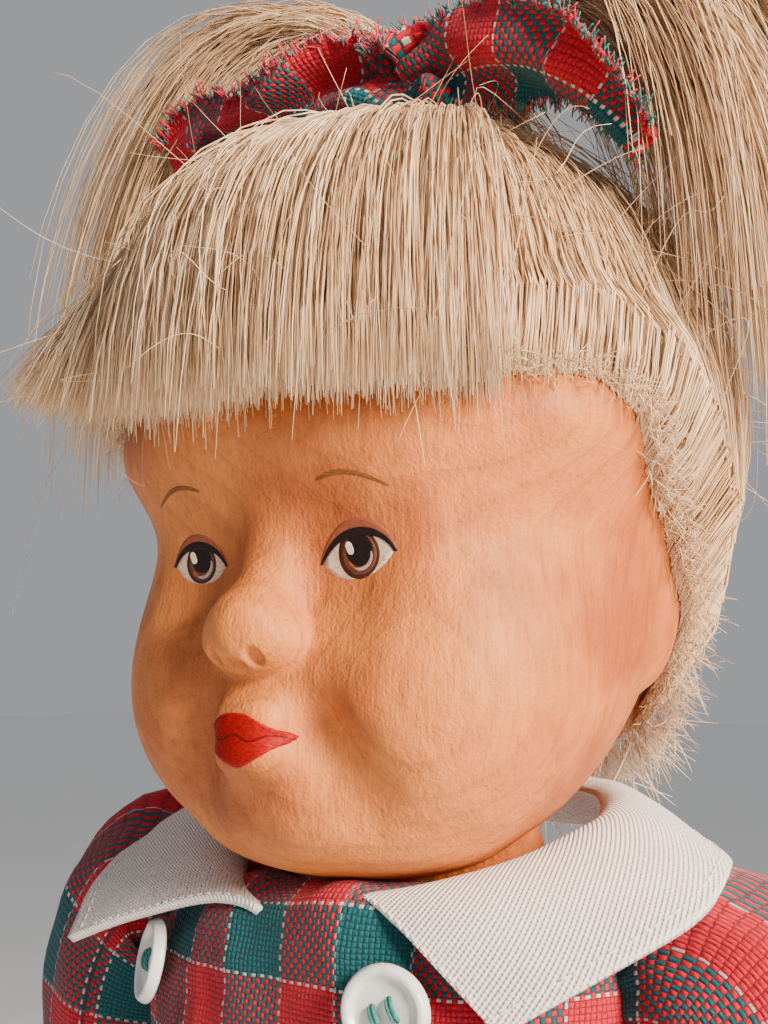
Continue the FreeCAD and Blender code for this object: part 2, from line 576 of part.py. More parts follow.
def build_leg():
    """Thigh, shin with its foot, knee pin, trouser leg, sock and shoe of the left side."""
    face = "pelvis_x + joint_gap"
    knee = ("hip_x - knee_r", "axis_y", "knee_z")
    thigh = fuse(
        "thigh_blank",
        rod("thigh_disc", "hip_disc_r", "hip_disc_len", (face, "axis_y", "hip_z"), TO_X),
        cone("thigh_cone", "knee_r", "thigh_top_r", "hip_z - knee_z", ("hip_x", "axis_y", "knee_z")),
        rod("knee_knuckle", "knee_r", "2 * knee_r", knee, TO_X),
    )
    rounding = ball("thigh_rounding", "hip_disc_r + 5.6", ("hip_x", "axis_y", "hip_z - 2"))
    lower = block("thigh_rounding_lower", (-FAR, -FAR, 0), (2 * FAR, 2 * FAR, "hip_z - 8"))
    rounded = overlap("thigh_rounded", thigh, fuse("thigh_rounding_space", rounding, lower))
    slot = block("knee_slot", ("hip_x - knee_tongue / 2 - 0.2", -FAR, "knee_z - 40"),
                 ("knee_tongue + 0.4", 2 * FAR, "40 + knee_r + 2.6"))
    pin_bore = rod("knee_pin_bore", "1.6 + pin_gap / 2", 60, ("hip_x - 30", "axis_y", "knee_z"), TO_X)
    rod_bore = rod("thigh_rod_bore", "hip_rod_r + pin_gap", 60, (0, "axis_y", "hip_z"), TO_X)
    recess_at = (f"{face} + hip_disc_len - 6.2", "axis_y", "hip_z")
    recess = rod("thigh_recess", "hip_rod_r + 3.6", 30, recess_at, TO_X)
    both_sides(cut("thigh_part", rounded, slot, pin_bore, rod_bore, recess), "thigh")
    pin_at = ("hip_x - knee_r + 0.5", "axis_y", "knee_z")
    both_sides(rod("knee_pin_rod", 1.6, "2 * knee_r - 1", pin_at, TO_X), "knee_pin")

    shin_top = "knee_z - knee_r - 1.6"
    shin = fuse(
        "shin_blank",
        rod("knee_tongue_round", "knee_r - 0.3", "knee_tongue",
            ("hip_x - knee_tongue / 2", "axis_y", "knee_z"), TO_X),
        block("knee_tongue_neck", ("hip_x - knee_tongue / 2", "axis_y - knee_r + 2.6", f"{shin_top} - 2"),
              ("knee_tongue", "2 * knee_r - 5.2", "knee_r + 3.6")),
        cone("shin_cone", "ankle_r", "shin_top_r", f"{shin_top} - 30", ("hip_x", "axis_y", 30)),
        rod("ankle", "ankle_r", 20, ("hip_x", "axis_y", 11)),
        foot("foot", "0", "sole_t + 1.2"),
    )
    shin_bore = rod("shin_pin_bore", "1.6 + pin_gap", 60, ("hip_x - 30", "axis_y", "knee_z"), TO_X)
    both_sides(cut("shin_part", shin, shin_bore), "shin")

    hem = ("hip_x", "axis_y", "trouser_hem_z")
    leg_outer = rod("trouser_outer", "trouser_r", "trouser_len", hem)
    leg_inner = rod("trouser_inner", "trouser_r - 1.5", "trouser_len", hem)
    both_sides(cut("trouser_part", leg_outer, leg_inner), "romper_leg")

    sock_tube = rod("sock_tube", "ankle_r + 2.3", 42, ("hip_x", "axis_y", 12))
    sock_inside = [
        foot("sock_inner_foot", "0.15", 0),
        rod("sock_inner_ankle", "ankle_r + 0.2", 30, ("hip_x", "axis_y", 5)),
        cone("sock_inner_shin", "ankle_r + 0.2", "shin_top_r + 0.2", f"{shin_top} - 30",
             ("hip_x", "axis_y", 30)),
    ]
    sock_blank = fuse("sock_blank", sock_tube, foot("sock_foot", "1", "sole_t + 0.2"))
    sock = cut("sock_part", sock_blank, *sock_inside)
    both_sides(sock, "sock")

    opening = [
        ellipsoid("shoe_opening", (9.8, 15.5, 22), ("hip_x", -2, 30)),
        rod("shoe_ankle_space", "ankle_r + 2.6", 40, ("hip_x", "axis_y", 10)),
    ]
    shoe_outer = foot("shoe_outer", "2.8", "sole_t")
    upper = cut("shoe_upper_part", shoe_outer, foot("shoe_inner", "1.2", 0), *opening)
    both_sides(upper, "shoe_upper")

    sole = overlap(
        "sole_part",
        ellipsoid("sole_form", ("foot_wide + 3.6", "foot_long + 3.6", 30), ("hip_x", "foot_y", 0)),
        block("sole_space", (-FAR, -FAR, 0), (2 * FAR, 2 * FAR, "sole_t")),
    )
    both_sides(sole, "shoe_sole")

    strap_shell = cut("strap_shell", foot("strap_outer", "4.1", "sole_t + 5"), foot("strap_inner", "2.9", 0))
    strap = overlap("strap_part", strap_shell, block("strap_space", (-FAR, -15, 0), (2 * FAR, 6, FAR)))
    both_sides(strap, "shoe_strap")
    stud = rod("strap_button_form", 2.4, 1.4, ("hip_x + foot_wide + 3.6", -12, 11), TO_X)
    both_sides(cut("strap_button", stud, foot("strap_button_clear", "4.15", 0)), "shoe_button")


# Clothes on the trunk


def build_romper_body():
    """The romper's trunk, open at the neck, at both armholes and over the legs."""
    shell = cut(
        "romper_shell",
        trunk_loft("romper_outside", "cloth_out", "cloth_out"),
        trunk_loft("romper_inside", "cloth_in", "cloth_in"),
    )
    openings = [
        rod("neckline", "neck_ball_r + 1.4", 60, (0, "axis_y", "neck_z - 20")),
        rod("armholes", "shoulder_ball_r + 3.6", 200, (-100, "axis_y", "shoulder_z"), TO_X),
        block("seat_opening", (-FAR, -FAR, 0), (2 * FAR, 2 * FAR, "hip_z + 21")),
    ]
    return piece(cut("romper_trunk", shell, *openings), "romper_body")


def collar_surface(name, growth, drop):
    """A flared solid from the neckline down to the collar's outer edge, which is lower at the front."""
    top = doc.addObject("Part::Ellipse", f"{name}_top")
    bind(top, MajorRadius=f"21.5 + {growth}", MinorRadius=f"20.6 + {growth}")
    put(top, (0, "axis_y", f"neck_z + 3.5 - {drop}"), COLLAR_TILT)
    edge = doc.addObject("Part::Ellipse", f"{name}_edge")
    bind(edge, MajorRadius=f"collar_wide + {growth}", MinorRadius=f"collar_deep + {growth}")
    put(edge, (0, "axis_y", f"neck_z - 1.2 - {drop}"), COLLAR_TILT)
    item = doc.addObject("Part::Loft", name)
    item.Sections = [edge, top]
    item.Solid = True
    return item


def build_collar():
    """One turned-down collar that goes round the back of the neck, with two points apart at the front."""
    shell = cut("collar_shell", collar_surface("collar_over", 0, 0), collar_surface("collar_under", 0, 1.4))
    notch = doc.addObject("Part::Wedge", "collar_notch")
    notch.Xmin, notch.Xmax, notch.X2min, notch.X2max = -5, 5, -17, 17
    notch.Ymin, notch.Ymax, notch.Zmin, notch.Zmax, notch.Z2min, notch.Z2max = 0, 32, 0, 50, 0, 50
    notch.Placement = Placement(Vector(0, -50, 325), Rotation(Vector(1, 0, 0), -90))
    neck = rod("collar_neck_space", 19.2, 60, (0, "axis_y", 290))
    shoulders = trunk_loft("collar_clear", "cloth_out + 0.1", "cloth_out")
    piece(cut("collar_part", shell, notch, neck, shoulders), "collar")


def make_button():
    """A four-hole button with a raised rim, facing +Z, with its back at Z 0."""
    body = doc.addObject("PartDesign::Body", "button_body")
    disc_sketch = sketch_in(body, "button_outline")
    circle_in(disc_sketch, "button_r")
    pad(body, disc_sketch, "button_t", "button_disc")
    well_sketch = sketch_in(body, "button_well_outline")
    well_sketch.AttachmentOffset = Placement(Vector(0, 0, SIZE["button_t"] - 0.5), Rotation())
    circle_in(well_sketch, "button_r - 1.3")
    doc.recompute()
    well = body.newObject("PartDesign::Pocket", "button_well")
    well.Profile = well_sketch
    well.Reversed = True
    bind(well, Length="0.6")
    hole_sketch = sketch_in(body, "button_hole_outline")
    for x in (-1.1, 1.1):
        for y in (-1.1, 1.1):
            circle_in(hole_sketch, "0.6", x, y)
    doc.recompute()
    holes = body.newObject("PartDesign::Pocket", "button_holes")
    holes.Profile = hole_sketch
    holes.Reversed = True
    bind(holes, Length="button_t + 1")
    doc.recompute()
    solid_disc = 3.14159 * SIZE["button_r"] ** 2 * SIZE["button_t"]
    assert body.Shape.Volume < 0.9 * solid_disc, "the button's well or holes cut nothing"
    return body


def front_of(shape, x, z):
    """The y at which the front of a shape is met."""
    return Part.makeLine(Vector(x, -FAR, z), Vector(x, 0, z)).common(shape).BoundBox.YMin


def button_places(romper):
    """One placement for each button, on the romper's front, facing away from it."""
    places = []
    shape = romper.Shape
    for side in (-1, 1):
        for row in BUTTON_ROWS:
            x = SIZE["button_middle"] + side * SIZE["button_x"]
            z = SIZE["shoulder_z"] + SIZE["button_top"] - row * SIZE["button_step"]
            across = Vector(2, front_of(shape, x + 1, z) - front_of(shape, x - 1, z), 0)
            upward = Vector(0, front_of(shape, x, z + 1) - front_of(shape, x, z - 1), 2)
            normal = across.cross(upward).normalize()
            at = Vector(x, front_of(shape, x, z), z) + normal * 0.4
            places.append(Placement(at, Rotation(Vector(0, 0, 1), normal)))
    return places


def build_buttons(romper):
    """Two columns of buttons, each sewn on with two stitches."""
    doc.recompute()
    button = make_button()
    buttons, stitches = [], []
    for place in button_places(romper):
        copy = button.Shape.copy()
        copy.Placement = place
        buttons.append(copy)
        for x in (-1.1, 1.1):
            stitch = Part.makeCylinder(0.3, 2.8, Vector(x, -1.4, SIZE["button_t"] - 0.15), Vector(0, 1, 0))
            stitch.Placement = place.multiply(stitch.Placement)
            stitches.append(stitch)
    for label, shapes in (("buttons", buttons), ("button_threads", stitches)):
        item = doc.addObject("Part::Feature", label + "_set")
        item.Shape = Part.makeCompound(shapes)
        piece(item, label)


def build_snaps(romper):
    """Three press studs that close the romper down its back."""
    snaps = []
    for number in range(3):
        z = SIZE["shoulder_z"] + 1 - 24 * number
        hit = Part.makeLine(Vector(0, 0, z), Vector(0, FAR, z)).common(romper.Shape)
        cap = rod(f"snap_{number + 1}", 3, 1.1, (0, f"{hit.BoundBox.YMax} + 0.5", z), TO_Y)
        snaps.append(cap)
    piece(group("snap_set", *snaps), "back_snaps")


def check_and_export():
    doc.recompute()
    for item in doc.Objects:
        if "Invalid" in item.State or "Error" in item.State:
            raise RuntimeError(f"{item.Name} failed: {item.State}")
    os.makedirs("parts", exist_ok=True)
    for item in PIECES:
        shape = item.Shape
        if shape.isNull() or not shape.isValid() or not shape.Solids:
            raise RuntimeError(f"{item.Label} has no valid solid")
    for item in PIECES:
        item.Shape.exportStep(f"parts/{item.Label}.step")
        print(f"{item.Label}: {len(item.Shape.Solids)} solids, {item.Shape.Volume:.0f} mm3")


fill_sheet()
build_trunk()
build_neck_hardware()
build_limb_hardware()
build_head()
build_hair()
build_arm()
build_leg()
romper_body = build_romper_body()
build_collar()
build_buttons(romper_body)
build_snaps(romper_body)
check_and_export()
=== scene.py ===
"""Looks of the jointed wooden doll. Sizes are in millimetres and become metres where a mesh is made."""

import json
import math

import bpy
import numpy as np
from mathutils import Matrix, Vector


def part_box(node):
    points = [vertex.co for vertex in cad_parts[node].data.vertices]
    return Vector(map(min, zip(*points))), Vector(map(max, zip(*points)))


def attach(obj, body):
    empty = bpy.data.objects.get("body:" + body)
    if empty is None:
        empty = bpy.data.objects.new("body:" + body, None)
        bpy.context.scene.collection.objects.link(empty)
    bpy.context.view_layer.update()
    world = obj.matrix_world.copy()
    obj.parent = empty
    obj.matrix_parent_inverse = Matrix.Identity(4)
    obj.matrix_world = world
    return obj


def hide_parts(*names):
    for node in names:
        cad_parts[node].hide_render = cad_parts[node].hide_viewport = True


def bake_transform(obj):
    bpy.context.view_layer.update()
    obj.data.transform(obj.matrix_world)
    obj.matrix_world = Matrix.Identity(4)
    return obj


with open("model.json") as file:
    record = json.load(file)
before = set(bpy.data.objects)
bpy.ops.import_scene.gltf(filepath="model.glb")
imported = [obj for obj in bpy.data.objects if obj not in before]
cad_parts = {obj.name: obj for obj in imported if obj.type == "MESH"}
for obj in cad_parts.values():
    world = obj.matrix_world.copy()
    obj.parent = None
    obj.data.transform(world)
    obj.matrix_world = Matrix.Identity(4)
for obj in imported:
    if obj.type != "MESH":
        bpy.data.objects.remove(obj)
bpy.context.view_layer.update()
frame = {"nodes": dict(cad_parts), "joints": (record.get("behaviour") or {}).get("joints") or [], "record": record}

MM = 0.001
RANDOM = np.random.default_rng(11)
MESH_FACES = 195000  # the most faces in one mesh of hair


def box_mm(node):
    low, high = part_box(node)
    return np.array(low) / MM, np.array(high) / MM


# Places in the frame.

HEAD_LOW, HEAD_HIGH = box_mm("head")
PIN_LOW, PIN_HIGH = box_mm("neck_cross_pin")
AXIS_Y = (PIN_LOW[1] + PIN_HIGH[1]) / 2
NECK_Z = (PIN_LOW[2] + PIN_HIGH[2]) / 2
CROWN_Z = HEAD_HIGH[2] + 2.6  # the carved skull's top, above the edge of the hole in the crown
SKULL = np.array((0, 0, CROWN_Z - 40))
SKULL_HALVES = np.array((35, 38.5, 40))
JOINTS = {joint["name"]: joint for joint in frame["joints"]}


def joint_at(name):
    return np.array(JOINTS[name]["pos_m"]) / MM


# Mesh helpers.


def new_mesh(name, points, faces):
    """A mesh from an array of points in millimetres and one of faces, all with as many corners."""
    faces = np.asarray(faces, np.int32)
    count, corners = faces.shape
    mesh = bpy.data.meshes.new(name)
    mesh.vertices.add(len(points))
    mesh.vertices.foreach_set("co", (np.asarray(points) * MM).astype(np.float32).ravel())
    mesh.loops.add(faces.size)
    mesh.loops.foreach_set("vertex_index", faces.ravel())
    mesh.polygons.add(count)
    mesh.polygons.foreach_set("loop_start", np.arange(0, faces.size, corners, dtype=np.int32))
    mesh.polygons.foreach_set("use_smooth", np.ones(count, bool))
    mesh.update(calc_edges=True)
    mesh.validate()
    return mesh


def piece(name, mesh, material, body, nodes=()):
    """A piece that rides on a body, and stands for the CAD nodes it names."""
    item = bpy.data.objects.new(name, mesh)
    bpy.context.scene.collection.objects.link(item)
    item.data.materials.append(material)
    if body is not None:
        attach(item, body)
    if nodes:
        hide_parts(*nodes)
    return item


def grid_faces(rows, columns, wrapped=False):
    """Quads of a grid of points, row by row. A wrapped grid joins its last column to its first."""
    row, column = np.mgrid[0 : rows - 1, 0 : columns if wrapped else columns - 1]
    row, column = row.ravel(), column.ravel()
    beside = (column + 1) % columns
    low, high = row * columns, (row + 1) * columns
    return np.stack((low + column, low + beside, high + beside, high + column), 1)


def cut_quads(quads):
    """Each quad as two triangles: all the first halves, then all the second halves."""
    return np.concatenate((quads[:, (0, 1, 2)], quads[:, (0, 2, 3)]))


def lengths_along(path):
    """How far along a row of points each one lies."""
    return np.concatenate(((0,), np.cumsum(np.linalg.norm(np.diff(path, axis=0), axis=1))))


def slab(outside, inside, faces):
    """A closed sheet with thickness: its outside, its inside turned over, and walls along its open edges."""
    faces = np.asarray(faces)
    edges = np.concatenate([np.stack(ends, 1) for ends in zip(faces.T, np.roll(faces, -1, 1).T)])
    keys = np.sort(edges, 1) @ np.array((len(outside), 1))
    _, first, times = np.unique(keys, return_index=True, return_counts=True)
    rim = edges[first[times == 1]]
    total = len(outside)
    walls = np.stack((rim[:, 1], rim[:, 0], rim[:, 0] + total, rim[:, 1] + total), 1)
    if faces.shape[1] == 3:
        walls = cut_quads(walls)
    return np.concatenate((outside, inside)), np.concatenate((faces, faces[:, ::-1] + total, walls))


def face_normals_at(points, faces):
    """A unit normal at each point of a grid mesh."""
    a, b, c = (points[faces[:, k]] for k in (0, 1, 2))
    across = np.cross(b - a, c - a)
    normals = np.zeros_like(points)
    for k in range(faces.shape[1]):
        np.add.at(normals, faces[:, k], across)
    return normals / np.maximum(np.linalg.norm(normals, axis=1, keepdims=True), 1e-9)


def set_cloth(mesh, values):
    """Writes each point's place on the flat cloth, in millimetres, for the weave to follow."""
    layer = mesh.attributes.new("cloth", "FLOAT_VECTOR", "POINT")
    values = np.asarray(values, np.float32)
    flat = np.zeros((len(mesh.vertices), 3), np.float32)
    flat[:, : values.shape[1]] = values
    layer.data.foreach_set("vector", flat.ravel())


def smoothstep(low, high, value):
    t = np.clip((value - low) / (high - low), 0, 1)
    return t * t * (3 - 2 * t)


# Materials.


def srgb(red, green, blue):
    """A linear colour from the 0 to 255 values of a screen."""
    values = [c / 255 for c in (red, green, blue)]
    return tuple(c / 12.92 if c <= 0.04045 else ((c + 0.055) / 1.055) ** 2.4 for c in values) + (1,)


class Shader:
    """One material, whose nodes are made and joined by short calls."""

    def __init__(self, name, roughness=0.5, **sockets):
        self.material = bpy.data.materials.new(name)
        self.material.use_nodes = True
        self.tree = self.material.node_tree
        self.surface = self.tree.nodes["Principled BSDF"]
        self.surface.inputs["Roughness"].default_value = roughness
        for key, value in sockets.items():
            self.surface.inputs[key.replace("_", " ")].default_value = value

    def feed(self, socket, value):
        if isinstance(value, bpy.types.NodeSocket):
            self.tree.links.new(value, socket)
        else:
            socket.default_value = value

    def node(self, kind, inputs, **settings):
        item = self.tree.nodes.new(kind)
        for key, value in settings.items():
            setattr(item, key, value)
        for key, value in inputs.items():
            self.feed(item.inputs[key], value)
        return item

    def math(self, operation, a, b=0.0, c=0.0):
        return self.node("ShaderNodeMath", {0: a, 1: b, 2: c}, operation=operation).outputs[0]

    def vector(self, operation, a, b=(0, 0, 0), output=0):
        return self.node("ShaderNodeVectorMath", {0: a, 1: b}, operation=operation).outputs[output]

    def place(self):
        """Where a point lies in the frame, in millimetres."""
        metres = self.node("ShaderNodeTexCoord", {}).outputs["Object"]
        return self.vector("MULTIPLY", metres, (1000, 1000, 1000))

    def cloth(self):
        return self.node("ShaderNodeAttribute", {}, attribute_name="cloth").outputs["Vector"]

    def noise(self, vector, scale, detail=2.0, roughness=0.5):
        inputs = {"Vector": vector, "Scale": scale, "Detail": detail, "Roughness": roughness}
        return self.node("ShaderNodeTexNoise", inputs).outputs[0]

    def mix(self, factor, a, b):
        return self.node("ShaderNodeMix", {0: factor, 6: a, 7: b}, data_type="RGBA").outputs[2]

    def remap(self, value, low, high, to_low=0.0, to_high=1.0):
        inputs = {0: value, 1: low, 2: high, 3: to_low, 4: to_high}
        return self.node("ShaderNodeMapRange", inputs, clamp=True, interpolation_type="SMOOTHSTEP").outputs[0]

    def colour(self, value):
        self.feed(self.surface.inputs["Base Color"], value)

    def rough(self, value):
        self.feed(self.surface.inputs["Roughness"], value)

    def bump(self, *layers):
        """Bumps one on another, each a height and its depth in millimetres."""
        normal = None
        for height, depth in layers:
            inputs = {"Height": height, "Distance": depth * MM, "Strength": 1.0}
            if normal is not None:
                inputs["Normal"] = normal
            normal = self.node("ShaderNodeBump", inputs).outputs[0]
        self.feed(self.surface.inputs["Normal"], normal)


def wood_material(name, pith=(-34, 62, 0), along=(1, 1, 0.05), rough=0.5):
    """Oiled maple: growth rings about a pith, long fibres, short flecks and a faintly raised grain."""
    shader = Shader(name, Specular_IOR_Level=0.3, Coat_Weight=0.04, Coat_Roughness=0.35)
    place = shader.place()
    from_pith = shader.vector("MULTIPLY", shader.vector("SUBTRACT", place, pith), along)
    radius = shader.vector("LENGTH", from_pith, output=1)
    drift = shader.noise(shader.vector("MULTIPLY", place, (0.035, 0.035, 0.014)), 1.0, 2.0)
    rings = shader.math("MULTIPLY_ADD", drift, 3.2, shader.math("MULTIPLY", radius, 0.42))
    ring = shader.math("FRACT", rings)
    line = shader.math("MULTIPLY", shader.remap(ring, 0.62, 0.93), shader.remap(ring, 1.0, 0.95))
    across = tuple(1 if share == 1 else 0.09 for share in along)
    fibre = shader.noise(shader.vector("MULTIPLY", place, across), 1.5, 4.0, 0.62)
    fleck = shader.remap(shader.noise(shader.vector("MULTIPLY", place, across), 5.5, 1.0), 0.62, 0.75)
    patch = shader.noise(place, 0.055, 3.0, 0.55)
    honey, amber, umber = srgb(212, 124, 56), srgb(172, 88, 36), srgb(100, 46, 18)
    base = shader.mix(shader.remap(patch, 0.36, 0.66), honey, amber)
    base = shader.mix(shader.math("MULTIPLY", shader.remap(fibre, 0.4, 0.75), 0.28), base, umber)
    base = shader.mix(shader.math("MULTIPLY", line, 0.15), base, umber)
    base = shader.mix(shader.math("MULTIPLY", fleck, 0.16), base, umber)
    shader.colour(base)
    skin = shader.noise(place, 2.1, 3.0, 0.6)
    facets = shader.noise(place, 0.22, 1.0)
    shader.rough(shader.remap(shader.math("ADD", fibre, skin), 0.7, 1.3, rough - 0.07, rough + 0.1))
    shader.bump((facets, 0.5), (skin, 0.2), (fibre, 0.16), (line, -0.03))
    return shader.material


def paint_material(name, colour, edge=None, rough=0.38):
    """Brushed oil paint on wood: streaks, small pits and uneven cover."""
    shader = Shader(name, Specular_IOR_Level=0.15)
    place = shader.place()
    streak = shader.noise(shader.vector("MULTIPLY", place, (2.2, 2.2, 6)), 0.8, 3.0, 0.6)
    shader.colour(shader.mix(shader.remap(streak, 0.35, 0.75), colour, edge or colour))
    shader.rough(shader.remap(streak, 0.3, 0.7, rough - 0.08, rough + 0.12))
    shader.bump((streak, 0.05), (shader.noise(place, 3.0), 0.04))
    return shader.material


# The carved head.


def smooth_union(a, b, width):
    h = np.clip(0.5 + 0.5 * (b - a) / width, 0, 1)
    return b * (1 - h) + a * h - width * h * (1 - h)


def smooth_cut(a, b, width):
    """Takes b away from a."""
    return -smooth_union(-a, b, width)


def to_ellipsoid(points, centre, halves):
    q = (points - np.array(centre)) / np.array(halves)
    near = np.linalg.norm(q, axis=-1)
    slope = np.linalg.norm(q / np.array(halves), axis=-1)
    return near * (near - 1) / np.maximum(slope, 1e-9)


def to_capsule(points, start, end, radius):
    start, end = np.array(start, float), np.array(end, float)
    along = end - start
    t = np.clip((points - start) @ along / (along @ along), 0, 1)
    return np.linalg.norm(points - start - t[..., None] * along, axis=-1) - radius


# Each feature is a middle, from the skull's middle, its half sizes, and how softly it melts into the rest.
# Those off the middle stand for a pair.
MASSES = (
    ((0, -8, -23), (30, 27, 25), 10),  # jaw
    ((0, -13.5, 6), (38.3, 24.5, 14), 7),  # forehead
    ((0, -26, -39), (10.5, 9, 7), 5),  # chin
    ((0, -17, -42.5), (17, 13, 6), 5),  # fold under the chin
    ((0, -29.3, -29.8), (9.5, 9.3, 9), 4),  # mouth mound
    ((14.6, -18.5, -26.5), (16, 15.5, 16.5), 10),  # cheek
)
HOLLOWS = (
    ((0, -46, -11.5), (27, 11.6, 12.5), 9),  # across both eyes
    ((10.5, -39, -12.5), (8.5, 5, 6.5), 4.5),  # eye socket
)
NOSE = (
    ((0, -37.4, -18.8), (5, 4.4, 4.4), 3),  # tip
    ((3.6, -36.2, -20), (3, 3.6, 2.9), 2),  # wing
)
NOSTRIL = ((3, -40.4, -22.3), (1.1, 2, 1.5), 0.4)
LIPS = (
    ((0, -37, -29.3), (5.8, 2.8, 2.7), 2.2),  # upper
    ((0, -36.8, -33), (5, 2.8, 2.7), 2.2),  # lower
)


def head_distance(points):
    """Signed distance to the carved head, in millimetres, less than 0 inside it."""
    p = points - SKULL
    q = p.copy()
    q[..., 0] = np.abs(q[..., 0])

    def melt(d, combine, features):
        for middle, halves, width in features:
            d = combine(d, to_ellipsoid(q, middle, halves), width)
        return d

    d = to_ellipsoid(p, (0, 0, 0), SKULL_HALVES)
    d = melt(d, smooth_union, MASSES)
    d = melt(d, smooth_cut, HOLLOWS)
    d = smooth_union(d, to_capsule(p, (0, -30.4, -5), (0, -32.2, -12), 2.9), 5)  # bridge of the nose
    d = smooth_union(d, to_capsule(p, (0, -31.6, -12), (0, -36.6, -18.4), 4.2), 3)  # and below it
    d = melt(d, smooth_union, NOSE)
    d = melt(d, smooth_cut, (NOSTRIL,))
    d = smooth_cut(d, to_capsule(p, (0, -39.4, -22.8), (0, -39.6, -26.6), 1.15), 0.8)  # groove above the lip
    d = melt(d, smooth_union, LIPS)
    d = smooth_cut(d, to_capsule(q, (8.6, -36.0, -30), (13.5, -34.6, -38), 1.6), 6.5)  # fold beside the mouth
    ear = to_ellipsoid(q, (29.6, 4, -13), (4.6, 8.5, 12.5))
    ear = smooth_cut(ear, to_ellipsoid(q, (35.6, 1.1, -12), (4.2, 5.2, 8.5)), 2.5)
    d = smooth_union(d, ear, 2.2)
    neck = to_capsule(points, (0, AXIS_Y, NECK_Z), (0, AXIS_Y, NECK_Z + 12), 13)
    neck = smooth_union(neck, to_ellipsoid(points, (0, AXIS_Y + 1, NECK_Z + 24), (19, 17, 14)), 6)
    d = smooth_union(d, neck, 4)
    return smooth_union(d, np.linalg.norm(points - (0, AXIS_Y, NECK_Z), axis=-1) - 15, 0.6)


def head_normals(points):
    step = 0.05
    slopes = [head_distance(points + along) - head_distance(points - along) for along in np.eye(3) * step]
    normals = np.stack(slopes, -1)
    return normals / np.linalg.norm(normals, axis=-1, keepdims=True)


def cast(starts, directions, distance, nearest, farthest, rounds=26):
    """Where rays from inside a shape leave it, by halving."""
    low = np.full(len(starts), float(nearest))
    high = np.full(len(starts), float(farthest))
    for _ in range(rounds):
        middle = (low + high) / 2
        inside = distance(starts + middle[:, None] * directions) < 0
        low, high = np.where(inside, middle, low), np.where(inside, high, middle)
    return starts + low[:, None] * directions


HEART = SKULL + (0, -4, -12)  # a point that sees the whole surface of the head


def build_head(wood):
    """The carving, as rings about the front-to-back axis, closer together over the face."""
    rings = np.concatenate((np.linspace(0.4, 74, 190), np.linspace(75.5, 179.6, 62)))
    turns = np.linspace(0, 2 * math.pi, 390, endpoint=False)
    tilt, turn = np.meshgrid(np.radians(rings), turns, indexing="ij")
    directions = np.stack((np.sin(tilt) * np.cos(turn), -np.cos(tilt), np.sin(tilt) * np.sin(turn)), -1)
    directions = np.concatenate((directions.reshape(-1, 3), ((0, -1, 0), (0, 1, 0))))
    points = cast(np.repeat(HEART[None], len(directions), 0), directions, head_distance, 1, 80)
    nose_pole, nape_pole = len(points) - 2, len(points) - 1
    k = np.arange(len(turns))
    beside = (k + 1) % len(turns)
    last = nose_pole - len(turns)
    quads = grid_faces(len(rings), len(turns), wrapped=True)[:, ::-1]
    front = np.stack((np.full_like(k, nose_pole), k, beside), 1)
    back = np.stack((last + k, np.full_like(k, nape_pole), last + beside), 1)
    mesh = new_mesh("head_carving", points, np.concatenate((cut_quads(quads), front, back)))
    piece("head_carving", mesh, wood, "head", ("head", "crown_plug"))


def on_face(x, z):
    """Points on the front of the head over given x and z."""
    x, z = np.asarray(x, float), np.asarray(z, float) + np.zeros_like(x)
    starts = np.stack((x, np.full_like(x, -18.0), z), -1)
    return cast(starts, np.repeat(np.array(((0, -1.0, 0),)), len(x), 0), head_distance, 0, 40)


def painted_patch(name, middle, outline, material, lift, rings=9, turns=88):
    """A patch of paint round a middle (x, z), whose reach in each direction comes from outline(angle)."""
    angle = np.linspace(0, 2 * math.pi, turns, endpoint=False)
    reach = outline(angle)
    share = np.linspace(0, 1, rings)[1:]
    x = middle[0] + np.outer(share, reach * np.cos(angle)).ravel()
    z = middle[1] + np.outer(share, reach * np.sin(angle)).ravel()
    x, z = np.append(x, middle[0]), np.append(z, middle[1])
    k = np.arange(turns)
    hub = np.stack((np.full_like(k, len(x) - 1), (k + 1) % turns, k), 1)
    faces = np.concatenate((cut_quads(grid_faces(rings - 1, turns, wrapped=True)), hub))
    paint_slab(name, on_face(x, z), faces, material, lift)


def painted_stroke(name, middle, width, material, lift, steps=60):
    """A brush stroke along middle(t) = (x, z), t from 0 to 1, as wide as width(t)."""
    t = np.linspace(0, 1, steps)
    x, z = middle(t)
    dx, dz = np.gradient(x), np.gradient(z)
    length = np.hypot(dx, dz)
    half = width(t) / 2
    columns = np.linspace(-1, 1, 5)
    across_x = x[:, None] + columns * (-dz / length * half)[:, None]
    across_z = z[:, None] + columns * (dx / length * half)[:, None]
    faces = cut_quads(grid_faces(steps, len(columns)))
    paint_slab(name, on_face(across_x.ravel(), across_z.ravel()), faces, material, lift)


def paint_slab(name, flat, faces, material, lift):
    """Paint over points on the wood, raised by lift and rooted a little inside."""
    normals = head_normals(flat)
    a, b, c = (flat[faces[0, k]] for k in range(3))
    if np.cross(b - a, c - a) @ normals[faces[0, 0]] < 0:
        faces = faces[:, ::-1]
    points, faces = slab(flat + normals * lift, flat - normals * 0.12, faces)
    piece(name, new_mesh(name, points, faces), material, "head")


EYE_X, EYE_Z = 12.2, SKULL[2] - 10.3
EYE_WIDE = 5.0  # half an eye's width
IRIS = 2.85  # an iris's radius, with its dark rim
RIM = 0.42
SLANT = {1: 1.1, -1: 0.7}  # how far each eye's outer corner is lifted above its middle


def lid_height(u):
    """Height of the upper lid above the eye's middle, for u from -1 at the nose to 1 outside."""
    return 2.9 * (1 - np.abs(u) ** 2.2) ** 0.75 - 0.55 * u - 0.35


def lower_height(u):
    """Height of the lower lid, as lid_height."""
    return -2.6 * (1 - np.abs(u) ** 2.2) ** 0.8 - 0.45 * u - 0.2


